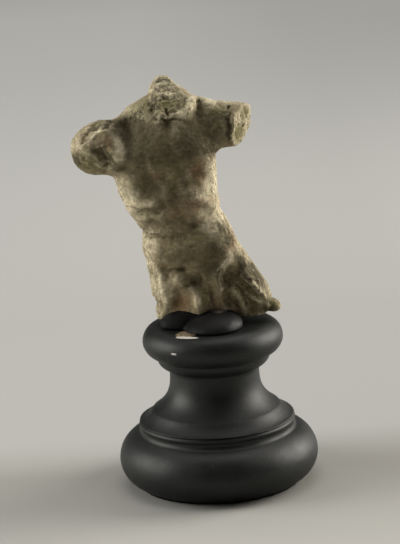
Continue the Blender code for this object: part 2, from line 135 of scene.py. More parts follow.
# Carving on the front: x, height, half width, half height, turn in degrees, rise or depth
FRONT_FORMS = {
    "right pectoral": (-13.0, 40.8, 6.4, 4.6, 8, 1.3),
    "left pectoral": (-1.8, 41.4, 5.6, 4.4, -8, 1.2),
    "right collar hollow": (-16.9, 45.6, 1.9, 3.2, 20, -1.6),
    "left collar hollow": (0.3, 49.2, 0.9, 2.6, -8, -1.2),
    "throat notch": (-7.5, 47.0, 1.2, 1.6, 0, -0.5),
    "breastbone": (-7.1, 40.5, 1.6, 5.0, 4, -0.3),
    "right rib hollow": (-13.0, 33.0, 3.8, 2.8, 20, -1.0),
    "left rib hollow": (-1.2, 35.0, 2.8, 2.2, -20, -0.9),
    "pit of the stomach": (-6.4, 31.2, 1.6, 2.6, 3, -0.6),
    "right half of the belly": (-10.0, 25.0, 3.2, 3.4, 10, 0.5),
    "left half of the belly": (-3.2, 25.4, 3.0, 3.4, -6, 0.5),
    "navel": (-2.5, 22.9, 0.9, 0.9, 0, -0.8),
    "lower belly": (-6.2, 16.4, 5.0, 3.2, 0, 0.9),
    "left flank": (2.4, 17.4, 4.0, 3.8, -20, 1.0),
    "right hip": (-12.6, 16.4, 1.8, 3.4, 0, 0.4),
    "groin": (-6.1, 12.3, 1.8, 0.9, 0, -0.9),
    "broken sex": (-6.7, 9.7, 1.9, 1.6, 0, 0.8),
    "crotch": (-2.8, 9.3, 2.2, 1.6, -20, -1.0),
    "right thigh, outer edge": (-11.2, 8.6, 1.2, 5.0, 0, 0.7),
    "right thigh, hollow": (-7.3, 4.0, 2.1, 3.4, 0, -0.7),
    "right thigh, inner edge": (-3.0, 4.6, 1.2, 3.2, 4, 0.8),
    "gap between the thighs": (0.7, 4.4, 0.9, 3.6, 4, -0.8),
    "left thigh break, pit": (5.2, 9.2, 1.3, 2.2, -10, -0.9),
    "left thigh break, upper left": (7.2, 10.9, 1.0, 1.7, 15, -0.7),
    "left thigh break, upper right": (10.3, 10.6, 1.0, 1.2, 35, -0.5),
    "left thigh break, recess at the foot": (5.6, -0.6, 2.0, 1.4, -25, -1.8),
    "right armpit": (-16.8, 43.5, 1.3, 2.2, 8, -0.8),
    "right collar hollow, upper end": (-17.4, 46.6, 2.2, 1.3, 15, -1.0),
    "right arm break, hollow": (-23.3, 39.9, 1.4, 1.3, -40, -0.7),
    "right rib ledge": (-13.5, 28.6, 2.1, 0.8, -6, 0.5),
    "scar on the belly": (-12.3, 24.1, 1.4, 0.9, -10, -0.5),
    "left side of the belly": (1.2, 15.3, 1.9, 2.0, 0, -0.4),
    "left hip crest": (3.3, 22.7, 1.9, 1.2, 20, 0.4),
}
# Creases and ridges: start, end, half width, rise or depth
FRONT_LINES = {
    "right breast fold": ((-17.4, 37.4), (-9.0, 35.2), 1.3, -0.6),
    "left breast fold": ((-5.6, 37.0), (2.4, 38.6), 1.3, -0.5),
    "right rib arch, upper": ((-8.6, 31.7), (-11.5, 28.4), 1.1, 0.35),
    "right rib arch, lower": ((-11.5, 28.4), (-16.6, 26.6), 1.0, 0.5),
    "left rib arch, upper": ((-5.5, 31.4), (-1.9, 29.4), 1.1, 0.35),
    "left rib arch, lower": ((-1.9, 29.4), (2.4, 26.6), 1.0, 0.5),
    "midline of the belly": ((-6.6, 29.4), (-4.0, 22.8), 1.3, -0.25),
    "waist crease, right": ((-14.0, 20.8), (-7.9, 20.2), 1.0, -0.5),
    "waist crease, left": ((-6.2, 20.2), (2.6, 21.8), 1.1, -0.4),
    "right groin line": ((-13.8, 13.8), (-8.6, 12.4), 1.1, -0.5),
    "left groin line": ((6.9, 15.0), (2.0, 10.8), 0.9, 0.7),
    "left thigh break, inner rim": ((2.0, 10.8), (3.2, 6.8), 0.9, 0.7),
    "left thigh break, first rib": ((8.7, 9.0), (13.5, 3.2), 0.8, 0.9),
    "left thigh break, second rib": ((9.7, 5.2), (13.8, 1.2), 0.8, 0.7),
    "left thigh break, third rib": ((6.1, 6.3), (8.2, 1.0), 0.8, 0.8),
    "neck cord": ((-1.2, 52.6), (-2.8, 48.6), 1.0, 1.0),
    "right shoulder, front edge": ((-22.2, 45.6), (-19.6, 40.4), 1.5, 0.9),
    "right shoulder, foot of the edge": ((-19.6, 40.4), (-20.4, 37.4), 1.1, 0.7),
    "right shoulder, hollow": ((-23.8, 41.4), (-22.2, 38.2), 1.3, -1.0),
    "shoulder crack, outer": ((-27.6, 43.3), (-24.6, 46.4), 0.9, -0.35),
    "shoulder crack, inner": ((-24.6, 46.4), (-20.4, 47.2), 0.9, -0.35),
}
BACK_FORMS = {
    "right shoulder blade": (-14.2, 42.0, 4.0, 4.8, 14, 0.9),
    "left shoulder blade": (-1.4, 42.4, 3.8, 4.8, -14, 0.9),
    "right buttock": (-8.0, 8.6, 5.4, 5.2, 0, 1.5),
    "left buttock": (4.6, 8.8, 5.2, 5.2, 0, 1.3),
    "right loin": (-10.0, 21.5, 3.2, 4.2, 0, 0.5),
    "left loin": (-1.0, 21.5, 3.0, 4.2, 0, 0.5),
}
BACK_LINES = {
    "upper spine": ((-7.6, 48.0), (-7.4, 32.0), 1.5, -1.0),
    "lower spine": ((-7.4, 32.0), (-2.6, 15.0), 1.4, -1.2),
    "cleft": ((-2.4, 13.6), (-0.8, 3.0), 1.2, -2.0),
    "right buttock fold": ((-12.6, 3.0), (-3.6, 2.2), 1.0, -0.8),
    "left buttock fold": ((1.2, 2.2), (11.4, 3.2), 1.0, -0.8),
}

# Finer carving and damage that the solids leave to this mesh
FINE_FORMS = {
    "nape hollow": (-8.2, 54.3, 0.9, 1.1, -10, -0.5),
    "neck face": (-7.5, 51.1, 2.4, 2.0, 0, -0.35),
    "neck face pit": (-7.2, 49.5, 0.34, 0.45, 0, -1.0),
    "neck face upper knob": (-8.8, 52.5, 0.8, 0.5, 20, 0.3),
    "throat knob": (-9.1, 47.4, 0.8, 0.8, 0, 0.45),
    "throat hollow": (-7.6, 47.1, 0.7, 1.1, -25, -0.15),
    "left collar pit": (-0.1, 51.0, 0.34, 0.4, 0, -0.9),
    "left collar groove": (0.4, 49.6, 0.6, 1.7, -8, -0.5),
    "left shoulder pit": (7.2, 49.5, 0.34, 0.4, -30, -0.7),
    "arm face hollow": (10.9, 47.5, 1.0, 0.7, 40, -0.45),
    "arm face pit": (10.3, 45.7, 0.34, 0.34, 0, -0.5),
    "arm face low hollow": (9.0, 42.7, 1.0, 1.2, -20, -0.4),
    "collar grain ridge": (-13.9, 48.7, 0.7, 1.7, 12, 0.5),
    "right breast pit": (-11.1, 39.7, 0.4, 0.5, 0, -0.5),
    "breast knob": (-12.0, 37.8, 1.0, 0.7, 0, 0.3),
    "belly knob": (-12.5, 21.9, 1.0, 0.4, 0, 0.35),
    "left rib hollow": (-1.9, 35.3, 1.2, 1.3, 0, -0.5),
    "left rib light": (-4.3, 34.3, 0.8, 0.6, 0, 0.25),
    "lower belly nick": (-3.3, 17.8, 1.1, 0.3, 4, -0.35),
    "groin dark": (-6.2, 12.1, 0.9, 0.4, 0, -0.5),
    "groin dark left": (-8.3, 12.3, 0.7, 0.3, 0, -0.4),
    "crotch pit": (-3.3, 9.1, 0.7, 0.4, -20, -0.4),
    "crotch brown": (-4.8, 8.3, 0.7, 0.5, 20, -0.5),
    "crotch shelf": (-1.9, 10.1, 0.8, 0.5, -25, -0.4),
    "sex remains": (-7.1, 9.5, 1.1, 1.0, 0, 0.5),
    "thigh gap deep": (0.8, 5.2, 0.4, 0.8, 10, -0.5),
    "right thigh hollow": (-7.4, 4.1, 1.4, 2.2, 0, -0.4),
    "left edge nick": (-13.4, 10.7, 0.6, 0.8, 0, -0.4),
    "left outline nick": (-19.1, 28.5, 0.5, 0.6, 0, -0.5),
    "left thigh low hollow": (3.0, 3.3, 1.4, 0.9, 0, -0.3),
    "break low": (10.1, 1.0, 1.7, 0.7, -10, -0.3),
}
FINE_LINES = {
    "neck ledge": ((-9.0, 53.2), (-6.2, 52.7), 0.30, 0.45),
    "neck ledge shadow": ((-9.0, 52.5), (-6.0, 52.1), 0.26, -0.3),
    "neck slit": ((-8.4, 55.7), (-6.7, 55.8), 0.24, -0.8),
    "neck slit right": ((-6.3, 55.1), (-4.7, 54.2), 0.22, -0.6),
    "neck rim left": ((-10.8, 51.0), (-9.9, 49.2), 0.34, 0.7),
    "neck rim low": ((-9.9, 49.2), (-7.1, 48.5), 0.40, 0.9),
    "neck rim right": ((-7.1, 48.5), (-4.8, 48.8), 0.38, 0.8),
    "neck groove left upper": ((-11.6, 52.2), (-11.2, 50.4), 0.28, -0.4),
    "neck groove left lower": ((-11.2, 50.4), (-9.9, 48.2), 0.30, -0.5),
    "neck groove low": ((-9.7, 47.9), (-4.4, 47.7), 0.34, -0.3),
    "collar bar": ((-0.8, 52.1), (-2.2, 49.2), 0.62, 0.6),
    "arm groove upper": ((7.5, 48.2), (6.6, 44.9), 0.45, -0.7),
    "arm groove lower": ((6.6, 44.9), (6.9, 40.4), 0.45, -0.7),
    "arm face edge": ((8.1, 48.4), (7.3, 42.8), 0.30, 0.5),
    "shoulder crack one": ((-27.9, 43.2), (-26.1, 44.7), 0.26, -0.45),
    "shoulder crack two": ((-26.1, 44.7), (-24.2, 46.2), 0.24, -0.45),
    "shoulder crack three": ((-24.2, 46.2), (-22.2, 46.8), 0.24, -0.4),
    "shoulder crack four": ((-22.2, 46.8), (-20.1, 46.9), 0.24, -0.4),
    "crack lip one": ((-27.2, 42.3), (-23.8, 45.4), 0.55, 0.45),
    "crack lip two": ((-23.8, 45.4), (-20.1, 46.2), 0.55, 0.45),
    "facet upper edge": ((-29.1, 41.5), (-25.7, 41.7), 0.32, 0.4),
    "facet brow": ((-25.7, 41.8), (-22.4, 42.6), 0.30, 0.5),
    "facet brow low": ((-22.3, 42.2), (-20.4, 38.0), 0.34, 0.35),
    "facet streak one": ((-27.3, 39.7), (-22.9, 36.3), 0.24, -0.3),
    "facet streak two": ((-25.4, 40.7), (-21.4, 37.4), 0.24, -0.25),
    "facet streak three": ((-28.8, 39.0), (-25.3, 35.7), 0.24, -0.25),
    "flank line one": ((-18.3, 27.6), (-10.3, 26.8), 0.26, -0.2),
    "flank line two": ((-17.4, 26.6), (-9.7, 25.8), 0.26, 0.2),
    "waist line one": ((-14.7, 20.6), (-12.6, 20.4), 0.24, -0.4),
    "waist line two": ((-12.6, 20.4), (-8.4, 20.2), 0.24, -0.25),
    "waist ridge": ((-13.9, 21.4), (-11.1, 21.9), 0.26, 0.4),
    "iliac rim upper": ((7.5, 15.6), (4.9, 13.5), 0.30, 0.5),
    "iliac rim mid": ((4.9, 13.5), (2.4, 10.7), 0.30, 0.55),
    "inner rim low": ((2.4, 10.7), (3.9, 6.7), 0.28, 0.55),
    "thigh outer ridge one": ((-12.6, 13.0), (-10.4, 9.1), 0.80, 0.6),
    "thigh outer ridge two": ((-10.4, 9.1), (-10.0, 4.3), 0.95, 0.6),
    "thigh outer ridge three": ((-10.0, 4.3), (-11.0, 0.4), 0.90, 0.5),
    "thigh inner ridge": ((-3.6, 7.5), (-2.6, 2.0), 0.80, 0.5),
    "thigh gap upper": ((-0.9, 7.0), (0.7, 4.2), 0.34, -0.4),
    "thigh gap low": ((0.7, 4.2), (-0.4, 0.8), 0.34, -0.4),
    "break streak one": ((8.8, 9.3), (11.6, 7.4), 0.28, 0.6),
    "break streak one low": ((11.6, 7.4), (13.1, 4.8), 0.28, 0.6),
    "break streak two": ((9.4, 3.7), (12.0, 2.5), 0.28, 0.55),
    "break streak three": ((7.8, 12.7), (10.6, 10.5), 0.28, 0.4),
    "break rib one": ((5.3, 6.6), (7.5, 2.1), 0.34, 0.6),
    "break rib two": ((8.2, 6.1), (10.2, 3.0), 0.30, 0.45),
    "break furrow one": ((6.6, 7.2), (8.7, 1.7), 0.26, -0.5),
    "break furrow two": ((8.9, 7.5), (12.5, 3.8), 0.26, -0.6),
    "break furrow three": ((10.2, 5.2), (13.5, 2.9), 0.26, -0.5),
    "break furrow four": ((3.9, 6.7), (6.3, 1.9), 0.26, -0.4),
}

# Places where the clay is broken or weathered to a coarse grain: centre, radius, amount
COARSE = {
    "neck": ((-7.6, -2.2, 51.2), 4.2, 1.0),
    "right collar": ((-14.2, -2.0, 48.0), 3.0, 0.9),
    "left collar": ((-3.6, -2.5, 50.2), 2.6, 0.7),
    "left shoulder top": ((4.4, -1.5, 49.4), 3.4, 0.5),
    "arm face": ((11.0, 0.5, 45.0), 3.6, 0.8),
    "right shoulder top": ((-25.0, 0.0, 46.4), 3.6, 0.6),
    "nape": ((-8.0, 1.6, 54.6), 3.6, 0.8),
    "front of the left shoulder": ((4.2, -3.4, 47.4), 3.4, 0.6),
    "right shoulder hollow": ((-17.5, -3.4, 46.4), 2.4, 0.6),
    "thigh break": ((8.8, -3.6, 6.4), 4.4, 0.55),
    "thigh break edge": ((12.6, -2.6, 5.0), 3.2, 0.7),
    "thigh tip": ((15.6, -0.8, 1.2), 1.8, 1.0),
    "right flank": ((-18.4, -2.0, 29.0), 3.0, 0.5),
    "right hip edge": ((-13.0, -1.5, 11.5), 2.6, 0.6),
}

# Patches of tone on the front: x, height, half width, half height, turn, amount. They were placed
# and weighted against the photograph's brightness, so besides dirt and wear they hold
# some of its light and shade.
# The grime is dirt and painted shade together: it darkens the front where shade falls as well as where it is
# dirty.
GRIME_AND_SHADE = {
    "right chest": (-11.1, 43.8, 4.8, 4.9, 0, 0.65),
    "left chest": (-2.4, 43.2, 4.5, 5.1, 0, 1.1),
    "foot of the chest": (-8.4, 39.0, 7.6, 2.4, 0, 0.5),
    "right shoulder hollow": (-17.3, 46.6, 2.9, 2.0, 15, 1.1),
    "right arm hollow": (-16.1, 42.9, 1.7, 3.7, 15, 1.1),
    "right collar shadow": (-13.9, 45.0, 1.4, 2.0, 0, 0.6),
    "right rib hollow": (-13.0, 32.7, 3.1, 2.9, -15, 1.1),
    "middle of the ribs": (-9.1, 31.8, 2.1, 2.9, 0, 0.5),
    "pit of the stomach": (-6.8, 30.4, 1.4, 2.0, 0, 0.5),
    "left ribs": (-2.9, 33.9, 2.6, 2.0, -10, 0.85),
    "scar on the belly": (-11.9, 24.0, 2.1, 1.2, 0, 0.65),
    "stroke on the ribs": (-15.4, 27.4, 2.4, 0.7, -12, 0.5),
    "patch on the ribs": (-10.7, 27.6, 2.1, 1.0, 10, 0.6),
    "middle of the waist": (-5.8, 23.8, 3.8, 1.7, 0, 0.35),
    "navel": (-2.3, 22.5, 1.2, 1.2, 0, 0.6),
    "left flank": (1.7, 15.7, 2.9, 3.9, 10, 0.9),
    "upper left flank": (3.7, 21.2, 1.9, 1.5, -30, 0.85),
    "low left flank": (0.5, 11.4, 2.9, 2.0, 0, 0.8),
    "belly": (-5.8, 15.3, 3.8, 2.4, 0, 0.35),
    "groin": (-6.7, 12.1, 1.9, 0.6, 0, 0.8),
    "crotch": (-3.1, 8.9, 2.4, 1.5, 0, 0.8),
    "between the thighs": (0.7, 5.1, 0.7, 1.2, 0, 0.6),
    "inner rim of the break": (3.5, 8.8, 1.2, 2.0, 0, 0.8),
    "thigh break": (8.7, 7.7, 2.4, 4.9, 30, 0.5),
    "top of the thigh break": (7.8, 13.1, 1.2, 2.0, 20, 1.1),
    "foot of the break": (4.4, 3.4, 1.7, 1.7, 0, 0.9),
    "thigh tip": (15.1, 1.4, 1.7, 1.5, 0, 0.5),
    "left shoulder": (3.6, 48.3, 3.8, 2.2, 0, 0.35),
    "arm groove": (6.6, 44.0, 1.0, 3.4, -5, 0.7),
    "right arm break": (-21.6, 40.5, 1.2, 2.4, 30, 1.2),
    "under the right arm": (-20.9, 37.6, 1.9, 2.0, 0, 0.7),
    "right hip": (-13.2, 17.8, 0.7, 1.0, 0, 0.5),
    "thigh edge": (-12.9, 10.9, 1.0, 1.0, 0, 0.6),
    "right armpit": (-18.2, 36.2, 2.1, 1.5, 0, 0.7),
    "right groin": (-8.2, 14.3, 2.4, 1.2, 0, 0.3),
    "neck shadow": (-11.2, 50.9, 1.0, 2.0, 0, 0.7),
    "outer left chest": (3.3, 44.2, 2.9, 2.9, 0, 0.6),
    "right armpit front": (-15.0, 45.3, 1.4, 2.4, 0, 0.8),
    "right arm break, upper": (-23.9, 41.3, 2.1, 0.8, -10, 1.1),
    "brown of the left ribs": (-3.4, 29.5, 1.7, 2.0, 0, 0.55),
    "side of the left flank": (4.5, 17.9, 1.4, 2.0, 10, 0.5),
    "dark of the thigh break": (9.8, 10.4, 1.2, 2.0, 35, 1.1),
    "notch by the thigh tip": (13.5, 2.6, 1.2, 1.7, 20, 1.0),
    "right thigh hollow": (-7.2, 3.9, 1.7, 2.7, 0, 0.25),
    "under the thighs": (1.5, 2.1, 2.9, 0.6, 0, 0.8),
    "right shoulder top": (-22.7, 47.1, 3.1, 1.2, -14, 0.5),
    "low arm face": (9.5, 42.7, 1.4, 1.7, 0, 0.35),
    "left hip": (5.7, 18.7, 1.2, 1.7, 10, 0.6),
    "outer rim of the thigh": (12.4, 7.9, 1.4, 3.2, 32, 1.2),
    "right of the breastbone": (-7.9, 47.0, 1.2, 1.5, 0, 0.5),
    "shoulder crack, low": (-26.3, 43.7, 1.7, 0.3, 50, 0.8),
    "shoulder crack, middle": (-24.1, 45.9, 1.2, 0.3, 41, 0.9),
    "shoulder crack, upper": (-21.7, 46.9, 1.9, 0.4, 14, 1.2),
    "arm face groove": (6.6, 44.2, 0.4, 3.2, -4, 0.8),
    "neck slit": (-7.4, 55.8, 1.4, 0.4, -10, 0.9),
    "neck crack, left": (-10.8, 50.5, 0.4, 1.7, 12, 0.9),
    "neck crack, low": (-7.9, 48.0, 2.9, 0.4, -3, 0.8),
    "neck pit": (-7.3, 49.3, 0.4, 0.5, 0, 1.1),
    "left collar pit": (0.0, 51.0, 0.4, 0.6, 0, 1.1),
    "left shoulder pit": (7.2, 49.6, 0.4, 0.5, -30, 1.0),
    "face of the deltoid": (-22.6, 43.8, 1.4, 1.7, 40, 0.55),
    "right end of the arm break": (-29.1, 39.1, 1.7, 1.5, 0, 0.9),
    "side of the right chest": (-15.0, 42.0, 1.9, 5.9, 5, 0.8),
    "left armpit": (2.4, 40.3, 2.1, 1.7, 0, 0.9),
    "right waist": (-13.7, 21.7, 1.7, 1.7, 0, 0.5),
    "beside the left crest": (3.3, 9.1, 1.0, 2.0, 20, 0.6),
    "neck cord, upper": (-2.7, 52.4, 2.9, 1.2, -25, 0.35),
    "left edge of the collar": (-13.5, 51.1, 1.2, 1.0, -35, 0.5),
    "foot of the right edge": (-12.6, 2.7, 0.7, 2.7, 0, 0.7),
    "under the thigh tip": (13.9, 0.5, 1.4, 1.0, 0, 1.0),
    "left end of the arm break": (-29.8, 38.8, 1.2, 1.5, 0, 0.9),
    "edge of the deltoid": (-15.3, 45.0, 1.2, 2.4, 0, 0.6),
    "fold below the breast": (-1.2, 29.8, 1.4, 0.7, -15, 0.6),
}
RUST = {
    "left ribs": (-0.9, 35.7, 1.9, 3.2, 0, 0.8),
    "right deltoid": (-21.4, 43.4, 1.2, 2.0, 18, 0.8),
    "left hip": (6.1, 17.9, 1.0, 2.2, 10, 0.9),
    "right thigh": (-6.7, 3.4, 2.1, 2.2, 0, 0.9),
    "low left ribs": (0.8, 28.0, 1.7, 1.5, 0, 0.6),
    "middle of the belly": (-6.6, 26.1, 3.3, 2.4, 0, 0.35),
    "right ribs": (-10.3, 35.1, 2.1, 1.5, 0, 0.4),
    "low left thigh": (3.0, 4.2, 1.9, 2.0, 0, 0.6),
    "left waist": (-1.9, 27.0, 2.1, 1.7, 0, 0.4),
}
GREEN = {
    "neck face": (-7.0, 50.7, 3.3, 2.4, 0, 0.8),
    "right arm break": (-26.0, 38.5, 3.6, 2.0, -25, 0.8),
    "low arm face": (9.2, 42.8, 1.7, 2.2, 0, 1.2),
    "collar": (-14.1, 49.9, 2.9, 3.2, 0, 0.6),
    "lower belly": (-0.9, 19.9, 2.6, 1.2, 0, 0.8),
    "breastbone": (-6.5, 35.9, 1.7, 3.2, 0, 0.5),
    "belly": (-5.7, 16.8, 3.8, 2.4, 0, 0.4),
    "inner thigh": (-1.0, 4.7, 1.0, 2.0, 0, 0.8),
    "thigh break": (7.6, 3.8, 2.1, 2.4, 0, 0.6),
    "left shoulder": (3.6, 49.1, 3.3, 2.0, 0, 0.5),
    "right shoulder top": (-23.6, 46.6, 3.3, 1.5, -20, 0.6),
    "upper arm face": (11.1, 47.1, 1.2, 1.5, 0, 1.1),
    "thigh tip": (15.1, 1.4, 1.7, 1.5, 0, 0.6),
}
# The pale is wear and painted light together: it lightens worn places and the sides and ridges that the lamps
# catch.
PALE_AND_LIT = {
    "right flank": (-18.9, 32.4, 2.1, 3.4, 15, 0.65),
    "right waist": (-17.1, 27.7, 2.1, 2.2, 30, 0.9),
    "low right waist": (-14.7, 24.7, 1.4, 1.5, 30, 0.5),
    "right hip": (-13.2, 18.7, 2.1, 2.7, 0, 0.9),
    "low right hip": (-13.7, 14.0, 1.2, 2.2, 10, 0.7),
    "right thigh edge": (-11.1, 9.1, 1.0, 2.2, 12, 1.2),
    "foot of the right thigh edge": (-9.9, 6.0, 1.2, 3.4, -3, 1.6),
    "inner thigh": (-2.9, 4.9, 1.1, 2.2, 0, 0.9),
    "left side": (2.7, 33.1, 1.7, 6.3, 0, 1.0),
    "left ribs": (-0.8, 29.5, 2.1, 1.2, -15, 0.6),
    "left waist": (2.2, 23.0, 1.9, 2.9, -15, 1.9),
    "upper left waist": (-0.3, 21.4, 1.2, 1.2, 0, 0.7),
    "left hip": (6.8, 16.2, 1.0, 2.0, 30, 0.4),
    "crest of the left hip": (5.2, 14.1, 2.4, 1.0, 47, 1.3),
    "foot of the left crest": (2.2, 11.8, 0.6, 1.2, -8, 0.8),
    "first ridge of the break": (7.1, 3.8, 0.7, 2.7, 28, 1.15),
    "outer edge of the left thigh": (11.1, 10.2, 0.7, 2.0, 32, 0.4),
    "first streak of the break": (10.4, 7.6, 1.9, 0.6, -33, 1.5),
    "second streak of the break": (12.2, 5.8, 1.2, 0.5, -45, 1.3),
    "third streak of the break": (11.1, 3.4, 1.9, 0.6, -22, 1.4),
    "neck cord": (-1.7, 50.6, 1.2, 2.2, -10, 1.3),
    "left neck rim": (-3.7, 48.5, 1.0, 1.2, 0, 0.6),
    "nape": (-8.1, 55.7, 2.4, 2.0, 0, 0.8),
    "neck ledge": (-7.8, 52.6, 1.9, 0.7, 0, 0.7),
    "neck rim": (-7.1, 48.5, 2.9, 0.6, 0, 1.0),
    "throat": (-7.5, 49.5, 1.9, 0.7, 0, 0.4),
    "right collar": (-13.8, 49.9, 1.9, 2.0, 0, 0.5),
    "middle of the collar": (-9.5, 47.5, 1.9, 1.2, 0, 0.4),
    "breastbone": (-5.7, 45.6, 1.0, 2.4, 0, 0.7),
    "right deltoid": (-18.9, 42.1, 1.2, 2.4, 10, 1.3),
    "right shoulder slope": (-24.7, 44.2, 2.4, 1.2, 40, 0.3),
    "end of the right shoulder": (-28.8, 42.2, 1.0, 2.0, 0, 0.6),
    "right arm break": (-23.9, 38.8, 2.6, 1.2, -28, 0.95),
    "right rib ridge": (-13.0, 28.9, 2.1, 0.7, -5, 0.5),
    "ridge of the stomach": (-9.1, 30.6, 0.6, 2.0, 0, 0.5),
    "waist ridge": (-12.5, 21.9, 1.9, 0.6, 0, 0.25),
    "low ribs": (-10.3, 26.1, 2.4, 0.6, 0, 0.4),
    "left shoulder edge": (3.3, 50.7, 4.8, 0.6, -6, 0.8),
    "left armpit": (1.7, 40.2, 1.2, 1.0, -30, 0.3),
    "root of the thigh": (-7.6, 8.7, 1.9, 1.2, 0, 0.2),
    "low right flank": (-16.6, 31.6, 1.2, 2.2, 10, 0.8),
    "neck face": (-6.9, 52.7, 2.1, 2.0, 0, 0.35),
    "face of the deltoid": (-23.6, 45.9, 1.9, 0.7, 46, 0.4),
    "waist under the scar": (-10.6, 21.8, 2.4, 1.0, -5, 0.15),
    "lower rim of the break": (3.9, 7.4, 0.5, 1.2, 35, 0.3),
    "middle of the arm face": (10.1, 45.8, 1.4, 1.7, 0, 0.6),
    "foot of the deltoid ridge": (-19.1, 39.4, 0.7, 1.5, -14, 0.9),
    "crack lip": (-23.6, 45.9, 3.1, 0.5, 42, 0.9),
    "neck rim left": (-10.1, 50.5, 0.5, 1.7, 10, 0.9),
    "neck rim right": (-4.3, 49.2, 0.5, 1.5, -25, 0.8),
    "facet streak one": (-25.4, 40.0, 2.9, 0.4, -28, 0.7),
    "facet streak two": (-24.2, 37.6, 2.9, 0.4, -22, 0.7),
    "facet streak three": (-27.8, 39.2, 1.7, 0.4, -40, 0.6),
    "side of the nape": (-5.0, 53.4, 1.7, 1.5, -40, 0.5),
    "edge of the arm face": (8.0, 44.4, 0.7, 2.2, 0, 0.7),
    "left shoulder spot": (2.1, 50.3, 1.4, 1.0, 0, 0.9),
    "left side, inner": (0.8, 32.4, 1.2, 3.7, 0, 1.3),
    "ridge of the deltoid": (-19.6, 42.4, 1.0, 2.4, 10, 0.5),
    "top of the deltoid": (-21.0, 46.0, 1.2, 1.0, 0, 0.6),
    "shoulder above the crack": (-25.6, 46.7, 1.2, 1.0, 40, 0.6),
    "above the left waist": (0.2, 26.4, 2.1, 1.5, -20, 1.1),
    "inner edge of the break": (10.8, 9.9, 0.7, 1.0, 32, 0.5),
    "belly beside the hip": (-11.5, 18.2, 1.4, 1.5, 0, 0.3),
    "front of the left shoulder": (6.3, 46.8, 1.2, 2.0, 0, 0.3),
    "right collar, lower": (-13.7, 48.7, 2.4, 1.5, 0, 0.5),
    "collar above the shoulder": (-16.7, 49.7, 1.0, 2.0, -20, 0.6),
    "neck, top left": (-9.5, 55.5, 0.7, 1.0, 0, 0.8),
    "under the left breast": (-2.1, 31.3, 1.4, 1.0, -15, 0.6),
}


def smooth_min(a, b, width):
    """The smaller of two distances, rounded over the given width where they are alike."""
    share = np.clip(0.5 + 0.5 * (b - a) / width, 0.0, 1.0)
    return b + (a - b) * share - width * share * (1.0 - share)


def smooth_max(a, b, width):
    """The larger of two distances, rounded over the given width where they are alike."""
    return -smooth_min(-a, -b, width)


def rotation(turns):
    """The matrix of three turns in degrees, about X, Y and Z."""
    return np.array(Euler([math.radians(t) for t in turns]).to_matrix())


def ellipsoid(points, centre, radii, turns=(0, 0, 0)):
    """Roughly the distance from each point to an ellipsoid, negative inside."""
    local = (points - np.array(centre)) @ rotation(turns)
    near = np.linalg.norm(local / radii, axis=1)
    steep = np.linalg.norm(local / np.square(radii), axis=1)
    return near * (near - 1.0) / np.maximum(steep, 1e-6)


def half_space(points, point, normal):
    """Distance beyond a plane, on the side that its normal points to."""
    direction = np.array(normal) / np.linalg.norm(normal)
    return (points - np.array(point)) @ direction


def between_stations(height, stations, column):
    """A column of the trunk's table at any height, on a smooth curve through its stations."""
    levels = np.array([row[0] for row in stations])
    values = np.array([row[column] for row in stations])
    slopes = np.gradient(values, levels)
    z = np.clip(height, levels[0], levels[-1])
    i = np.clip(np.searchsorted(levels, z) - 1, 0, len(levels) - 2)
    span = levels[i + 1] - levels[i]
    t = (z - levels[i]) / span
    start = (1 + 2 * t) * (1 - t) ** 2 * values[i] + t * (1 - t) ** 2 * span * slopes[i]
    end = t * t * (3 - 2 * t) * values[i + 1] + t * t * (t - 1) * span * slopes[i + 1]
    return start + end


def trunk(points):
    """Roughly the distance from each point to the trunk between its first and last stations."""
    left, right, front, back = (between_stations(points[:, 2], TRUNK, k) for k in (1, 2, 3, 4))
    half_width, half_depth = (right - left) / 2, (back - front) / 2
    across = np.abs(points[:, 0] - (left + right) / 2) / half_width
    along = np.abs(points[:, 1] - (front + back) / 2) / half_depth
    reach = (across**TRUNK_SQUARENESS + along**TRUNK_SQUARENESS) ** (1 / TRUNK_SQUARENESS)
    around = (reach - 1.0) * np.minimum(half_width, half_depth)
    above = points[:, 2] - TRUNK[-1][0]
    below = TRUNK[0][0] - points[:, 2]
    return smooth_max(smooth_max(around, above, 1.5), below, 0.5)


def pressed(points, forms, lines):
    """Height of the carving at each point, seen from the front or the back."""
    x, z = points[:, 0], points[:, 2]
    height = np.zeros(len(points))
    for centre_x, centre_z, half_width, half_height, turn, rise in forms.values():
        c, s = math.cos(math.radians(turn)), math.sin(math.radians(turn))
        across = ((x - centre_x) * c + (z - centre_z) * s) / half_width
        up = ((z - centre_z) * c - (x - centre_x) * s) / half_height
        height += rise * np.exp(-(across**2) - up**2)
    for (x0, z0), (x1, z1), half_width, rise in lines.values():
        run_x, run_z = x1 - x0, z1 - z0
        t = np.clip(((x - x0) * run_x + (z - z0) * run_z) / (run_x**2 + run_z**2), 0.0, 1.0)
        away = np.hypot(x - x0 - t * run_x, z - z0 - t * run_z) / half_width
        height += rise * np.exp(-(away**2))
    return height


def toward_back(points):
    """0 in front of the figure's middle and 1 behind it, with a soft change between."""
    return 1.0 / (1.0 + np.exp(-(points[:, 1] + 0.4) * 1.6))


def figure(points):
    """Roughly the distance from each point to the torso's skin."""
    skin = trunk(points)
    for centre, radii, turns, blend, broken in LIMBS.values():
        limb = ellipsoid(points, centre, radii, turns)
        if broken:
            limb = smooth_max(limb, half_space(points, *broken), 0.5)
        skin = smooth_min(skin, limb, blend)
    skin = smooth_max(skin, -ellipsoid(points, *THIGH_BREAK), 0.5)
    back = toward_back(points)
    skin -= pressed(points, FRONT_FORMS, FRONT_LINES) * (1.0 - back)
    skin -= pressed(points, BACK_FORMS, BACK_LINES) * back
    return skin


# The putty: a low pad under the thighs, a wall under the right one and a smooth lump in front
PAD = ((-2.3, 0.8), (9.8, 6.2))
LUMP = ((0.3, -6.2, -0.5), (7.4, 7.0, 4.1), (0, -12, 0))
WALL = ((-5.5, -3.9, 0.0), (6.5, 3.2, 3.9))
PAD_SQUARENESS = 2.8


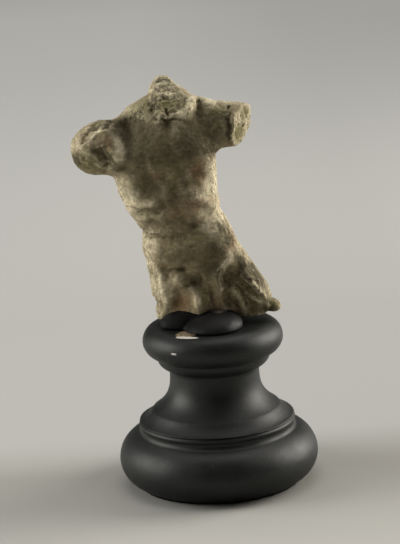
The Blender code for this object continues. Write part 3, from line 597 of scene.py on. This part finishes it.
def bed(points):
    """Roughly the distance from each point to the putty. Its origin is on the cap, BED_Z up."""
    (pad_x, pad_y), pad_radii = PAD
    across = np.abs(points[:, 0] - pad_x) / pad_radii[0]
    along = np.abs(points[:, 1] - pad_y) / pad_radii[1]
    reach = (across**PAD_SQUARENESS + along**PAD_SQUARENESS) ** (1 / PAD_SQUARENESS)
    pad = smooth_max((reach - 1.0) * pad_radii[1], points[:, 2] - BED_THICKNESS, 0.6)
    return smooth_min(smooth_min(pad, ellipsoid(points, *WALL), 0.8), ellipsoid(points, *LUMP), 0.6)


def seated_figure(points):
    """The torso above its flat underside and clear of the putty."""
    skin = smooth_max(figure(points), UNDERSIDE - points[:, 2], 0.15)
    over_bed = points + np.array((0.0, 0.0, FIGURE_LIFT))
    return smooth_max(skin, GAP - bed(over_bed), 0.15)


def putty(points):
    """The bed, closed up against the thighs where it meets them."""
    torso_at = points - np.array((0.0, 0.0, FIGURE_LIFT))
    seam = smooth_max(figure(torso_at) - 0.15, bed(points) - 0.4, 0.3)
    return smooth_max(smooth_min(bed(points), seam, 0.3), -points[:, 2], 0.15)


def slope_of(points, field, step=0.04):
    """How the field changes along each axis, per millimetre."""
    slope = np.empty_like(points)
    for axis in range(3):
        nudge = np.zeros(3)
        nudge[axis] = step
        slope[:, axis] = (field(points + nudge) - field(points - nudge)) / (2 * step)
    return slope


def pull_onto(points, field, most=0.6):
    """Moves points down the field's slope towards its zero surface."""
    slope = slope_of(points, field)
    move = slope * (field(points) / np.maximum((slope**2).sum(1), 0.05))[:, None]
    length = np.linalg.norm(move, axis=1, keepdims=True)
    return points - move * np.minimum(1.0, most / np.maximum(length, 1e-9))


def neighbour_mean(values, edges, rounds):
    """Each point's value evened out with its neighbours', a number of times."""
    count = np.bincount(edges.ravel(), minlength=len(values))
    for _ in range(rounds):
        total = np.zeros_like(values)
        for axis in range(values.shape[1]):
            column = values[:, axis]
            total[:, axis] = np.bincount(edges[:, 0], column[edges[:, 1]], len(values))
            total[:, axis] += np.bincount(edges[:, 1], column[edges[:, 0]], len(values))
        values = 0.5 * values + 0.5 * total / count[:, None]
    return values


def hashed(cells, seed):
    """A repeatable number from 0 to 1 for each whole-numbered cell."""
    mask = 0xFFFFFFFF
    bits = seed * 2654435
    for axis, prime in enumerate((73856093, 19349663, 83492791)):
        bits = bits ^ (cells[..., axis] * prime)
    bits = bits & mask
    for _ in range(2):
        bits = ((bits ^ (bits >> 15)) * 1274126177) & mask
    return (bits ^ (bits >> 13)) / mask


def lumps(points, size, seed):
    """Smooth noise from -1 to 1, with lumps of about the given size."""
    scaled = points / size
    cell = np.floor(scaled).astype(np.int64)
    t = scaled - cell
    t = t * t * t * (t * (t * 6 - 15) + 10)
    total = np.zeros(len(points))
    for corner in np.ndindex(2, 2, 2):
        weight = np.prod(np.where(corner, t, 1 - t), axis=1)
        total += weight * hashed(cell + corner, seed)
    return total * 2 - 1


def pits(points, size, chance, seed):
    """1 in the middle of scattered round pits, falling to 0 at their rims."""
    scaled = points / size
    cell = np.floor(scaled).astype(np.int64)
    depth = np.zeros(len(points))
    for corner in np.ndindex(3, 3, 3):
        near = cell + corner - 1
        middle = near + np.stack([hashed(near, seed + k) for k in (1, 2, 3)], 1)
        radius = 0.18 + 0.34 * hashed(near, seed + 4)
        chosen = hashed(near, seed + 5) < chance
        away = np.linalg.norm(scaled - middle, axis=1) / radius
        depth = np.maximum(depth, np.where(chosen, np.clip(1 - away**2, 0, 1), 0))
    return depth


def swayed(points, far, wide, near, narrow):
    """A shift of each point by two sizes of noise, to make outlines uneven."""
    shifts = [far * lumps(points, wide, s) + near * lumps(points, narrow, s + 1) for s in (61, 64, 67)]
    return np.stack(shifts, 1)


def wandering(points):
    """The points shifted so that the forms and tones of the tables get uneven outlines."""
    return points + swayed(points, 0.45, 1.8, 0.22, 0.8)


def carved(points):
    """The finer carving: the tables' forms with their outlines made uneven."""
    uneven = wandering(points)
    depth = 0.62 + 0.35 * lumps(points, 1.4, 71)
    return pressed(uneven, FINE_FORMS, {}) * 0.8 + pressed(uneven, {}, FINE_LINES) * depth


def coarseness(points):
    """How coarse the clay's grain is at each point: most at the breaks and at the foot."""
    total = np.zeros(len(points))
    for centre, radius, amount in COARSE.values():
        away = np.linalg.norm(points - np.array(centre), axis=1) / radius
        total = np.maximum(total, amount * np.exp(-(away**4)))
    low = np.exp(-np.square((points[:, 2] - UNDERSIDE) / 0.9)) * 0.8
    return np.maximum(total, low)


def mesh_arrays(mesh):
    """A mesh's vertices, and its edges as pairs of vertex numbers."""
    points = np.empty(len(mesh.vertices) * 3)
    mesh.vertices.foreach_get("co", points)
    edges = np.empty(len(mesh.edges) * 2, np.int64)
    mesh.edges.foreach_get("vertices", edges)
    return points.reshape(-1, 3), edges.reshape(-1, 2)


def set_points(mesh, points):
    """Moves a mesh's vertices to the given points."""
    mesh.vertices.foreach_set("co", np.ascontiguousarray(points, float).ravel())
    mesh.update()


def normals_of(mesh):
    """The normal at each vertex."""
    normals = np.empty(len(mesh.vertices) * 3)
    mesh.vertex_normals.foreach_get("vector", normals)
    return normals.reshape(-1, 3)


def store(mesh, name, values):
    """Keeps one number for each vertex, for the material to read."""
    layer = mesh.attributes.new(name, "FLOAT", "POINT")
    layer.data.foreach_set("value", np.ascontiguousarray(values, np.float32))


def remeshed(name, node, origin, voxel):
    """A fine copy of a CAD node, in millimetres from its own origin."""
    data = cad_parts[node].data.copy()
    data.name = name
    data.materials.clear()
    data.transform(Matrix.Translation([-c for c in origin]) @ Matrix.Scale(1 / MM, 4))
    rough = bpy.data.objects.new(name, data)
    bpy.context.scene.collection.objects.link(rough)
    grid = rough.modifiers.new("grid", "REMESH")
    grid.mode = "VOXEL"
    grid.voxel_size = voxel
    bpy.context.view_layer.update()
    graph = bpy.context.evaluated_depsgraph_get()
    fine = bpy.data.meshes.new_from_object(rough.evaluated_get(graph))
    bpy.data.objects.remove(rough)
    fine.name = name
    return fine


def placed(name, mesh, origin, look):
    """Puts a mesh in millimetres back in its place in metres, as an object."""
    mesh.transform(Matrix.Scale(MM, 4) @ Matrix.Translation(origin))
    mesh.materials.clear()
    mesh.materials.append(look)
    mesh.shade_smooth()
    obj = bpy.data.objects.new(name, mesh)
    bpy.context.scene.collection.objects.link(obj)
    return obj


def uneven_clay(points, coarse):
    """Height of the clay's lumps and grain at each point, less its pits."""
    height = 0.10 * lumps(points, 4.6, 1) + 0.10 * lumps(points, 2.3, 2) + 0.06 * lumps(points, 1.2, 3)
    height += (0.035 + 0.16 * coarse) * lumps(points, 0.9, 4)
    height += (0.02 + 0.09 * coarse) * lumps(points, 0.55, 5)
    height -= (0.06 + 0.10 * coarse) * pits(points, 1.7, 0.35, 10)
    return height - 0.10 * pits(points, 4.2, 0.30, 20)


def store_hollows(mesh, points, normals, edges):
    """Keeps how far each point is sunk below its surroundings, near by and farther off."""
    smooth = neighbour_mean(points, edges, 5)
    store(mesh, "cavity", ((smooth - points) * normals).sum(1) / 0.05)
    smooth = neighbour_mean(smooth, edges, 60)
    store(mesh, "hollow", ((smooth - points) * normals).sum(1) / 0.35)


def store_tones(mesh, points, normals):
    """Keeps the amount of each tone. The sides of the figure are a little pale all over, as painted light
    from the side lamps.
    """
    ahead = 1 - toward_back(points - (0.0, 3.0, 0.0))
    front = np.clip(-normals[:, 1] * 1.2 + 0.5, 0, 1) * ahead
    uneven = wandering(points)
    for name, table in (("grime_and_shade", GRIME_AND_SHADE), ("rust", RUST), ("green", GREEN)):
        store(mesh, name, pressed(uneven, table, {}) * front)
    # The sides are paler: painted light from the side lamps.
    sides = np.clip((np.abs(normals[:, 0]) - 0.55) / 0.3, 0, 1) * 0.5
    store(mesh, "pale", np.maximum(pressed(uneven, PALE_AND_LIT, {}) * ahead, sides))


def make_torso(look):
    """The torso's fine mesh, on the solid's skin and carved further."""
    origin = (FIGURE_X, 0.0, FIGURE_Z)
    mesh = remeshed("torso_clay", "torso", origin, TORSO_VOXEL)
    points, edges = mesh_arrays(mesh)
    for _ in range(3):
        points = pull_onto(neighbour_mean(points, edges, 1), seated_figure)
    points = pull_onto(points, seated_figure)
    set_points(mesh, points)
    normals = normals_of(mesh)
    facing = np.clip(-normals[:, 1] * 1.5 + 0.15, 0, 1) * (1 - toward_back(points))
    seat = np.clip((points[:, 2] - UNDERSIDE - 0.1) / 0.8, 0, 1)
    sideways = np.clip((np.abs(normals[:, 0]) - 0.5) / 0.3, 0, 1)
    coarse = np.maximum(coarseness(points), 0.5 * sideways)
    height = carved(points) * facing + uneven_clay(points, coarse)
    points = points + normals * (height * seat)[:, None]
    points[:, 2] = np.maximum(points[:, 2], UNDERSIDE)
    set_points(mesh, points)
    normals = normals_of(mesh)
    store_hollows(mesh, points, normals, edges)
    store_tones(mesh, points, normals)
    store(mesh, "coarse", coarse)
    return placed("torso_clay", mesh, origin, look)


def make_putty(look):
    """The putty's fine mesh, closed up against the clay and slightly lumpy."""
    origin = (FIGURE_X, 0.0, BED_Z)
    mesh = remeshed("putty", "putty_bed", origin, BED_VOXEL)
    points, edges = mesh_arrays(mesh)
    for _ in range(6):
        points = pull_onto(neighbour_mean(points, edges, 1), putty)
    points = pull_onto(points, putty)
    set_points(mesh, points)
    normals = normals_of(mesh)
    seat = np.clip(points[:, 2] / 0.8, 0, 1)
    uneven = 0.10 * lumps(points, 3.2, 31) + 0.04 * lumps(points, 1.2, 32)
    points = points + normals * (uneven * seat)[:, None]
    points[:, 2] = np.maximum(points[:, 2], 0.0)
    set_points(mesh, points)
    return placed("putty_smooth", mesh, origin, look)


def arc(centre, radii, start, end, count):
    """Points on an elliptical arc in the plane of radius and height, angles in degrees."""
    angles = np.radians(np.linspace(start, end, count))
    return [(centre[0] + radii[0] * math.cos(a), centre[1] + radii[1] * math.sin(a)) for a in angles]


def socle_profile():
    """Radius and height along the socle's side, from the underside up."""
    foot_centre = FOOT_RADIUS - FOOT_ROLL
    fillet_radius = FOOT_RADIUS - FILLET_STEP
    fillet_middle = FOOT_HEIGHT + FILLET_HEIGHT
    fillet_top = fillet_middle + FILLET_ROUND
    shoulder_radius = fillet_radius - SHOULDER_WIDTH
    shoulder_top = fillet_top + SHOULDER_RISE
    cap_centre = SOCLE_HEIGHT - CAP_HEIGHT / 2
    collar_top = SOCLE_HEIGHT - CAP_HEIGHT
    collar_foot = collar_top - COLLAR_HEIGHT
    points = [(0.0, 0.0), (FOOT_RADIUS - FOOT_TUCK, 0.0)]
    points += arc((foot_centre, FOOT_WIDEST), (FOOT_ROLL, FOOT_WIDEST), -70, 0, 16)
    points += arc((foot_centre, FOOT_WIDEST), (FOOT_ROLL, FOOT_HEIGHT - FOOT_WIDEST), 0, 76, 18)[1:]
    fillet_half = FILLET_HEIGHT / 2
    points += arc((fillet_radius - fillet_half, fillet_middle), (fillet_half, FILLET_ROUND), -50, 80, 9)
    for out in np.linspace(0.95, 0.12, 7):
        rise = (1 - out) ** 1.7 * SHOULDER_RISE
        points.append((shoulder_radius + out * SHOULDER_WIDTH, fillet_top + rise))
    neck_height = collar_foot - shoulder_top
    for step in np.linspace(0.0, 1.0, 24):
        up = step**1.7
        radius = WAIST_RADIUS + (shoulder_radius - WAIST_RADIUS) * (1 - up) ** 3.3
        points.append((radius, shoulder_top + up * neck_height))
    collar_radii = (COLLAR_RADIUS - WAIST_RADIUS, COLLAR_HEIGHT * 0.85)
    points += arc((WAIST_RADIUS, collar_top), collar_radii, -80, 0, 12)
    points += arc((CAP_RADIUS - CAP_ROLL, cap_centre), (CAP_ROLL, CAP_HEIGHT / 2), -68, 90, 34)
    points += [(r, SOCLE_HEIGHT) for r in np.linspace(CAP_RADIUS - CAP_ROLL - 1.0, 0.0, 8)]
    return points


def make_socle(look):
    """The turned socle, swept round its axis and given the slight unevenness of paint."""
    profile = socle_profile()
    inner = profile[1:-1]
    ring = len(inner)
    points = [(0.0, 0.0, profile[0][1]), (0.0, 0.0, profile[-1][1])]
    for step in range(TURNING_STEPS):
        angle = 2 * math.pi * step / TURNING_STEPS
        points += [(r * math.cos(angle), r * math.sin(angle), z) for r, z in inner]
    faces = []
    for step in range(TURNING_STEPS):
        here = 2 + step * ring
        there = 2 + (step + 1) % TURNING_STEPS * ring
        faces.append((0, there, here))
        faces += [(here + k, there + k, there + k + 1, here + k + 1) for k in range(ring - 1)]
        faces.append((here + ring - 1, there + ring - 1, 1))
    points = np.array(points) * (SOCLE_TRIM, SOCLE_TRIM, 1.0)
    mesh = bpy.data.meshes.new("socle_turned")
    mesh.from_pydata(points.tolist(), [], faces)
    mesh.update()
    normals = normals_of(mesh)
    free = np.clip(points[:, 2] / 1.5, 0, 1) * np.clip((SOCLE_HEIGHT - points[:, 2]) / 0.5, 0, 1)
    uneven = 0.06 * lumps(points, 9.0, 41) + 0.03 * lumps(points, 3.4, 42) - 0.05
    points = points + normals * (uneven * free)[:, None]
    set_points(mesh, points)
    return placed("socle_turned", mesh, (0.0, 0.0, 0.0), look)


def add(tree, kind, inputs=(), **settings):
    """A shader node with its settings, and with its inputs set or linked."""
    made = tree.nodes.new("ShaderNode" + kind)
    for key, value in settings.items():
        setattr(made, key, value)
    for key, value in dict(inputs).items():
        if isinstance(value, bpy.types.NodeSocket):
            tree.links.new(value, made.inputs[key])
        else:
            made.inputs[key].default_value = value
    return made


def mixed(tree, share, a, b, blend="MIX"):
    """A colour between a and b. Colours are given as linear red, green and blue."""
    full = [value if isinstance(value, bpy.types.NodeSocket) else (*value, 1.0) for value in (a, b)]
    made = add(tree, "Mix", {0: share, 6: full[0], 7: full[1]}, data_type="RGBA", blend_type=blend)
    return made.outputs[2]


def ranged(tree, value, low, high, to_low=0.0, to_high=1.0):
    """A value's place between low and high, given as a place between two others."""
    made = add(tree, "MapRange", {0: value, 1: low, 2: high, 3: to_low, 4: to_high})
    return made.outputs[0]


def maths(tree, operation, a, b, clamp=False):
    """The result of one Math node."""
    return add(tree, "Math", {0: a, 1: b}, operation=operation, use_clamp=clamp).outputs[0]


def attribute(tree, name):
    """A number kept on the mesh."""
    return add(tree, "Attribute", attribute_name=name).outputs["Fac"]


def toned(tree, name, share):
    """A share of the tone kept on the mesh, at most 1."""
    return maths(tree, "MULTIPLY", attribute(tree, name), share, clamp=True)


def millimetres(tree):
    """The place on the object in millimetres, for textures."""
    place = add(tree, "TexCoord").outputs["Object"]
    return add(tree, "VectorMath", {0: place, 1: (1 / MM,) * 3}, operation="MULTIPLY").outputs[0]


def noise(tree, place, size, detail=2.0, rough=0.5, offset=0.0):
    """Noise from 0 to 1 with features of about the given size in millimetres."""
    if offset:
        place = add(tree, "VectorMath", {0: place, 1: (offset, offset * 0.7, offset * 1.3)}).outputs[0]
    made = add(tree, "TexNoise", {"Vector": place, "Scale": 1.0 / size, "Detail": detail, "Roughness": rough})
    return made.outputs["Fac"]


def patch_mask(tree, place, centre, radii, along, ragged):
    """1 inside an ellipsoid turned about the upright, with a ragged edge, and 0 outside it."""
    c, s = along[0], along[1]
    local = add(tree, "VectorMath", {0: place, 1: centre}, operation="SUBTRACT").outputs[0]
    squares = []
    for axis, radius in (((c, s, 0.0), radii[0]), ((-s, c, 0.0), radii[1]), ((0.0, 0.0, 1.0), radii[2])):
        unit = tuple(value / radius for value in axis)
        share = add(tree, "VectorMath", {0: local, 1: unit}, operation="DOT_PRODUCT").outputs["Value"]
        squares.append(maths(tree, "MULTIPLY", share, share))
    reach = maths(tree, "ADD", maths(tree, "ADD", squares[0], squares[1]), squares[2])
    edge = ranged(tree, noise(tree, place, 0.7, 3.0, 0.6, 51.0), 0.3, 0.7, -0.5 * ragged, 0.5 * ragged)
    return ranged(tree, maths(tree, "ADD", reach, edge), 1.08, 0.92, 0.0, 1.0)


def new_material(name, roughness):
    """A material with its node tree and its Principled BSDF."""
    made = bpy.data.materials.new(name)
    made.use_nodes = True
    tree = made.node_tree
    shader = tree.nodes["Principled BSDF"]
    shader.inputs["Roughness"].default_value = roughness
    return made, tree, shader


# Colours of the clay, from its ground to its dirt and painted shade, and its worn places and painted light
CLAY_DARK = (0.215, 0.172, 0.097)
CLAY_LIGHT = (0.285, 0.232, 0.134)
CLAY_MOTTLE = (0.42, 0.36, 0.24)
CLAY_WORN = (0.46, 0.40, 0.275)
CLAY_PALE_AND_LIT = (0.74, 0.65, 0.455)
CLAY_CREAM_AND_LIT = (0.68, 0.595, 0.41)
RUST_BROWN = (0.30, 0.185, 0.095)
OLIVE = (0.215, 0.195, 0.085)
DIRT_AND_SHADE_BROWN = (0.10, 0.083, 0.047)
SUNK_BROWN = (0.10, 0.075, 0.04)
SPECK_BROWN = (0.13, 0.10, 0.055)


def clay_material():
    """Unglazed fired clay: olive buff, cream where worn and as painted light, with olive dirt, brown dirt
    mixed with painted shade, and darker where sunk.
    """
    made, tree, shader = new_material("fired_clay", 0.9)
    place = millimetres(tree)
    cavity = attribute(tree, "cavity")
    hollow = attribute(tree, "hollow")
    coarse = attribute(tree, "coarse")
    patch = noise(tree, place, 4.0, 3.0, 0.55)
    mottle = noise(tree, place, 1.4, 4.0, 0.65, 11.0)
    grain = noise(tree, place, 0.45, 3.0, 0.6, 23.0)
    colour = mixed(tree, ranged(tree, patch, 0.35, 0.65), CLAY_DARK, CLAY_LIGHT)
    colour = mixed(tree, ranged(tree, mottle, 0.52, 0.70, 0.0, 0.4), colour, CLAY_MOTTLE)
    worn = ranged(tree, maths(tree, "ADD", cavity, hollow), -0.2, -1.3, 0.0, 0.4)
    colour = mixed(tree, worn, colour, CLAY_WORN)
    # Pale: wear, and painted light on the sides and ridges.
    worn_and_lit = maths(tree, "MULTIPLY", attribute(tree, "pale"), ranged(tree, mottle, 0.35, 0.6, 0.6, 1.15))
    pale = maths(tree, "MINIMUM", worn_and_lit, 1.0)
    colour = mixed(tree, pale, colour, CLAY_PALE_AND_LIT)
    rust = toned(tree, "rust", ranged(tree, patch, 0.3, 0.6, 0.6, 1.2))
    colour = mixed(tree, rust, colour, RUST_BROWN)
    green = toned(tree, "green", ranged(tree, mottle, 0.3, 0.6, 0.6, 1.2))
    colour = mixed(tree, green, colour, OLIVE)
    # Brown: dirt, and painted shade on the front.
    dirt_and_shade = toned(tree, "grime_and_shade", ranged(tree, mottle, 0.3, 0.65, 1.15, 0.75))
    colour = mixed(tree, dirt_and_shade, colour, DIRT_AND_SHADE_BROWN)
    # Cream where the pale is strongest: wear and painted light.
    colour = mixed(tree, ranged(tree, worn_and_lit, 0.7, 1.3, 0.0, 0.9), colour, CLAY_CREAM_AND_LIT)
    # Darker where the surface is sunk below its surroundings.
    sunk = maths(tree, "ADD", maths(tree, "MULTIPLY", cavity, 0.6), hollow)
    colour = mixed(tree, ranged(tree, sunk, 0.3, 2.0, 0.0, 0.6), colour, SUNK_BROWN)
    fine = ranged(tree, noise(tree, place, 0.36, 3.0, 0.7, 31.0), 0.3, 0.7, -0.5, 0.5)
    crumb = ranged(tree, noise(tree, place, 0.8, 3.0, 0.6, 37.0), 0.35, 0.65, -0.45, 0.45)
    grained = maths(tree, "MULTIPLY", fine, ranged(tree, coarse, 0.0, 0.8, 0.35, 1.0))
    lying = add(tree, "VectorMath", {0: place, 1: (0.75, 0.9, 1.2)}, operation="MULTIPLY").outputs[0]
    strokes = ranged(tree, noise(tree, lying, 0.9, 4.0, 0.55, 71.0), 0.32, 0.68, -0.22, 0.22)
    grained = maths(tree, "ADD", grained, strokes)
    uneven = maths(tree, "ADD", grained, maths(tree, "MULTIPLY", crumb, maths(tree, "ADD", coarse, 0.04)))
    colour = mixed(tree, 1.0, colour, maths(tree, "ADD", uneven, 1.0), "MULTIPLY")
    speck = ranged(tree, noise(tree, place, 0.8, 2.0, 0.5, 41.0), 0.62, 0.72, 0.0, 0.6)
    speck = maths(tree, "MULTIPLY", speck, ranged(tree, coarse, 0.0, 0.5, 0.3, 1.0))
    colour = mixed(tree, speck, colour, SPECK_BROWN)
    tree.links.new(colour, shader.inputs["Base Color"])
    shader.inputs["Specular IOR Level"].default_value = 0.25
    tree.links.new(ranged(tree, grain, 0.3, 0.7, 0.82, 0.98), shader.inputs["Roughness"])
    relief = maths(tree, "ADD", maths(tree, "MULTIPLY", grain, 0.8), maths(tree, "MULTIPLY", mottle, 1.4))
    relief = maths(tree, "ADD", relief, maths(tree, "MULTIPLY", strokes, 0.7))
    relief = maths(tree, "ADD", relief, maths(tree, "MULTIPLY", crumb, coarse))
    strength = ranged(tree, coarse, 0.0, 0.8, 0.55, 1.0)
    bump = add(tree, "Bump", {"Strength": strength, "Distance": 0.0003, "Height": relief})
    tree.links.new(bump.outputs[0], shader.inputs["Normal"])
    return made


# Patches on the black parts, in millimetres: centre, radii, direction, raggedness of the edge
SMEAR = ((1.6, -6.6, 43.7), (2.5, 3.0, 0.45), (1.0, 0.0), 0.8)
FLAKE = ((-6.3, -10.0, 39.3), (2.4, 2.6, 1.0), (0.891, -0.454), 0.7)
LIP = ((-6.0, -12.5, 39.1), (2.8, 0.5, 0.9), (0.93, -0.37), 0.45)
SCRATCH = ((-9.4, -14.05, 35.75), (0.75, 1.0, 0.24), (0.83, -0.56), 0.3)


def putty_material():
    """Dull black putty whose sheen is weakened toward the viewer's left as painted shade, with a pinkish
    smear of clay on top.
    """
    made, tree, shader = new_material("black_putty", 0.4)
    place = millimetres(tree)
    cloud = noise(tree, place, 3.0, 3.0, 0.5)
    colour = mixed(tree, ranged(tree, cloud, 0.3, 0.7), (0.007, 0.007, 0.007), (0.013, 0.013, 0.013))
    smear = patch_mask(tree, place, *SMEAR)
    colour = mixed(tree, smear, colour, (0.16, 0.125, 0.105))
    tree.links.new(colour, shader.inputs["Base Color"])
    tree.links.new(ranged(tree, cloud, 0.3, 0.7, 0.50, 0.60), shader.inputs["Roughness"])
    # Weaker reflections toward the viewer's left: painted shade on that side of the putty.
    across = add(tree, "SeparateXYZ", {0: place}).outputs["X"]
    tree.links.new(ranged(tree, across, -5.0, 3.0, 0.08, 0.26), shader.inputs["Specular IOR Level"])
    bump = add(tree, "Bump", {"Strength": 0.3, "Distance": 0.0001, "Height": noise(tree, place, 0.9, 2.0)})
    tree.links.new(bump.outputs[0], shader.inputs["Normal"])
    return made


def socle_material():
    """Black satin paint on turned wood, with faint wear, dust and a chip at the front of the cap."""
    made, tree, shader = new_material("black_wood", 0.4)
    place = millimetres(tree)
    cloud = noise(tree, place, 5.0, 4.0, 0.55)
    fine = noise(tree, place, 0.7, 3.0, 0.6, 7.0)
    colour = mixed(tree, ranged(tree, cloud, 0.3, 0.7), (0.006, 0.0072, 0.0068), (0.011, 0.0128, 0.012))
    dust = ranged(tree, noise(tree, place, 0.5, 1.0, 0.5, 17.0), 0.74, 0.80, 0.0, 0.5)
    colour = mixed(tree, dust, colour, (0.14, 0.14, 0.13))
    flake = patch_mask(tree, place, *FLAKE)
    flecks = noise(tree, place, 0.5, 2.0, 0.6, 61.0)
    gold = mixed(tree, ranged(tree, flecks, 0.40, 0.60), (0.13, 0.085, 0.04), (0.46, 0.38, 0.25))
    colour = mixed(tree, flake, colour, gold)
    lip = patch_mask(tree, place, *LIP)
    colour = mixed(tree, lip, colour, (0.74, 0.70, 0.64))
    scratch = patch_mask(tree, place, *SCRATCH)
    colour = mixed(tree, scratch, colour, (0.62, 0.60, 0.56))
    tree.links.new(colour, shader.inputs["Base Color"])
    bare = maths(tree, "MAXIMUM", maths(tree, "MAXIMUM", flake, lip), scratch)
    rubbed = maths(tree, "ADD", ranged(tree, cloud, 0.3, 0.7, 0.44, 0.56), maths(tree, "MULTIPLY", bare, 0.3))
    tree.links.new(rubbed, shader.inputs["Roughness"])
    # Weaker reflections toward the foot: painted shade where the socle meets the floor.
    height = add(tree, "SeparateXYZ", {0: place}).outputs["Z"]
    tree.links.new(ranged(tree, height, 0.5, 6.0, 0.10, 0.38), shader.inputs["Specular IOR Level"])
    relief = maths(tree, "ADD", fine, maths(tree, "MULTIPLY", maths(tree, "MULTIPLY", bare, flecks), 3.0))
    bump = add(tree, "Bump", {"Strength": 0.35, "Distance": 0.00012, "Height": relief})
    tree.links.new(bump.outputs[0], shader.inputs["Normal"])
    return made


# Greys of the floor, from in front of the object to far behind it, with painted shade in the band and painted
# light far behind
FLOOR_FRONT = (0.50, 0.494, 0.470)
FLOOR_SHADE_BAND = (0.325, 0.318, 0.296)
FLOOR_BEHIND = (0.393, 0.391, 0.380)
FLOOR_LIT_FAR = (0.71, 0.707, 0.692)


def floor_material():
    """Pale grey paper, with painted shade in a soft band beside the object and toward the viewer's right, and
    painted light far behind it.
    """
    made, tree, shader = new_material("pale_paper", 0.9)
    place = add(tree, "TexCoord").outputs["Object"]
    along = add(tree, "SeparateXYZ", {0: place}).outputs["Y"]
    # Painted shade in a band beside the object, and painted light far behind it.
    near = ranged(tree, along, -0.075, 0.004, 0.0, 1.0)
    far = ranged(tree, along, 0.008, 0.034, 0.0, 1.0)
    farther = ranged(tree, along, 0.15, 0.85, 0.0, 1.0)
    colour = mixed(tree, near, FLOOR_FRONT, FLOOR_SHADE_BAND)
    colour = mixed(tree, far, colour, FLOOR_BEHIND)
    colour = mixed(tree, farther, colour, FLOOR_LIT_FAR)
    # Painted shade toward the viewer's right.
    beside = add(tree, "SeparateXYZ", {0: place}).outputs["X"]
    shade = ranged(tree, beside, -0.03, 0.06, 1.0, 0.88)
    colour = mixed(tree, 1.0, colour, shade, "MULTIPLY")
    tree.links.new(colour, shader.inputs["Base Color"])
    shader.inputs["Specular IOR Level"].default_value = 0.2
    return made


def make_floor():
    """A level floor, cut into squares."""
    mesh = bpy.data.meshes.new("floor")
    half = 3.0
    steps = 24
    line = np.linspace(-half, half, steps + 1)
    points = [(x, y, 0.0) for y in line for x in line]
    faces = []
    for row in range(steps):
        for column in range(steps):
            a = row * (steps + 1) + column
            faces.append((a, a + 1, a + steps + 2, a + steps + 1))
    mesh.from_pydata(points, [], faces)
    mesh.materials.append(floor_material())
    floor = bpy.data.objects.new("floor", mesh)
    bpy.context.scene.collection.objects.link(floor)


def make_camera():
    """The photograph's view: from in front and a little above, turned slightly."""
    tilt = math.radians(CAMERA_ELEVATION)
    forward = Vector((0.0, math.cos(tilt), -math.sin(tilt)))
    right = Vector((1.0, 0.0, 0.0))
    up = right.cross(forward)
    place = (Vector(CAMERA_TARGET) - forward * CAMERA_DISTANCE) * MM
    turned = Matrix((right, up, -forward)).transposed() @ Matrix.Rotation(-math.radians(CAMERA_ROLL), 3, "Z")
    data = bpy.data.cameras.new("camera")
    data.sensor_width = 36.0
    data.lens = 36.0 * FOCAL_PIXELS / FRAME_HEIGHT
    data.clip_start = 0.01
    data.clip_end = 20.0
    camera = bpy.data.objects.new("camera", data)
    camera.matrix_world = Matrix.Translation(place) @ turned.to_4x4()
    bpy.context.scene.collection.objects.link(camera)
    bpy.context.scene.camera = camera


def softbox(name, place, width, height, power, colour, target=(-0.004, 0.0, 0.06)):
    """A rectangular lamp that faces the target, by default the torso."""
    data = bpy.data.lights.new(name, "AREA")
    data.shape = "RECTANGLE"
    data.size = width
    data.size_y = height
    data.energy = power
    data.color = colour
    light = bpy.data.objects.new(name, data)
    light.location = place
    light.rotation_mode = "QUATERNION"
    light.rotation_quaternion = (Vector(target) - Vector(place)).to_track_quat("-Z", "Y")
    bpy.context.scene.collection.objects.link(light)


def make_light():
    """A softbox at each side, one overhead and behind, and a dim room."""
    softbox("right softbox", (0.47, 0.16, 0.22), 0.34, 0.36, 4.0, (1.0, 0.96, 0.88))
    softbox("left softbox", (-0.50, 0.01, 0.22), 0.34, 0.36, 2.6, (1.0, 0.98, 0.92))
    softbox("overhead", (0.0, 0.45, 1.60), 1.60, 1.60, 17.0, (1.0, 0.99, 0.96), (0.0, 0.40, 0.0))
    world = bpy.data.worlds.new("room")
    bpy.context.scene.world = world
    world.use_nodes = True
    background = world.node_tree.nodes["Background"]
    background.inputs["Color"].default_value = (0.62, 0.61, 0.58, 1.0)
    background.inputs["Strength"].default_value = 0.07


bpy.context.scene.view_settings.view_transform = "Standard"
make_camera()
make_light()
make_floor()
torso = make_torso(clay_material())
putty_piece = make_putty(putty_material())
socle = make_socle(socle_material())
for piece, node, slot in (
    (torso, "torso", "fired_clay"),
    (putty_piece, "putty_bed", "black_putty"),
    (socle, "socle", "black_wood"),
):
    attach(piece, "root")
    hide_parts(node)
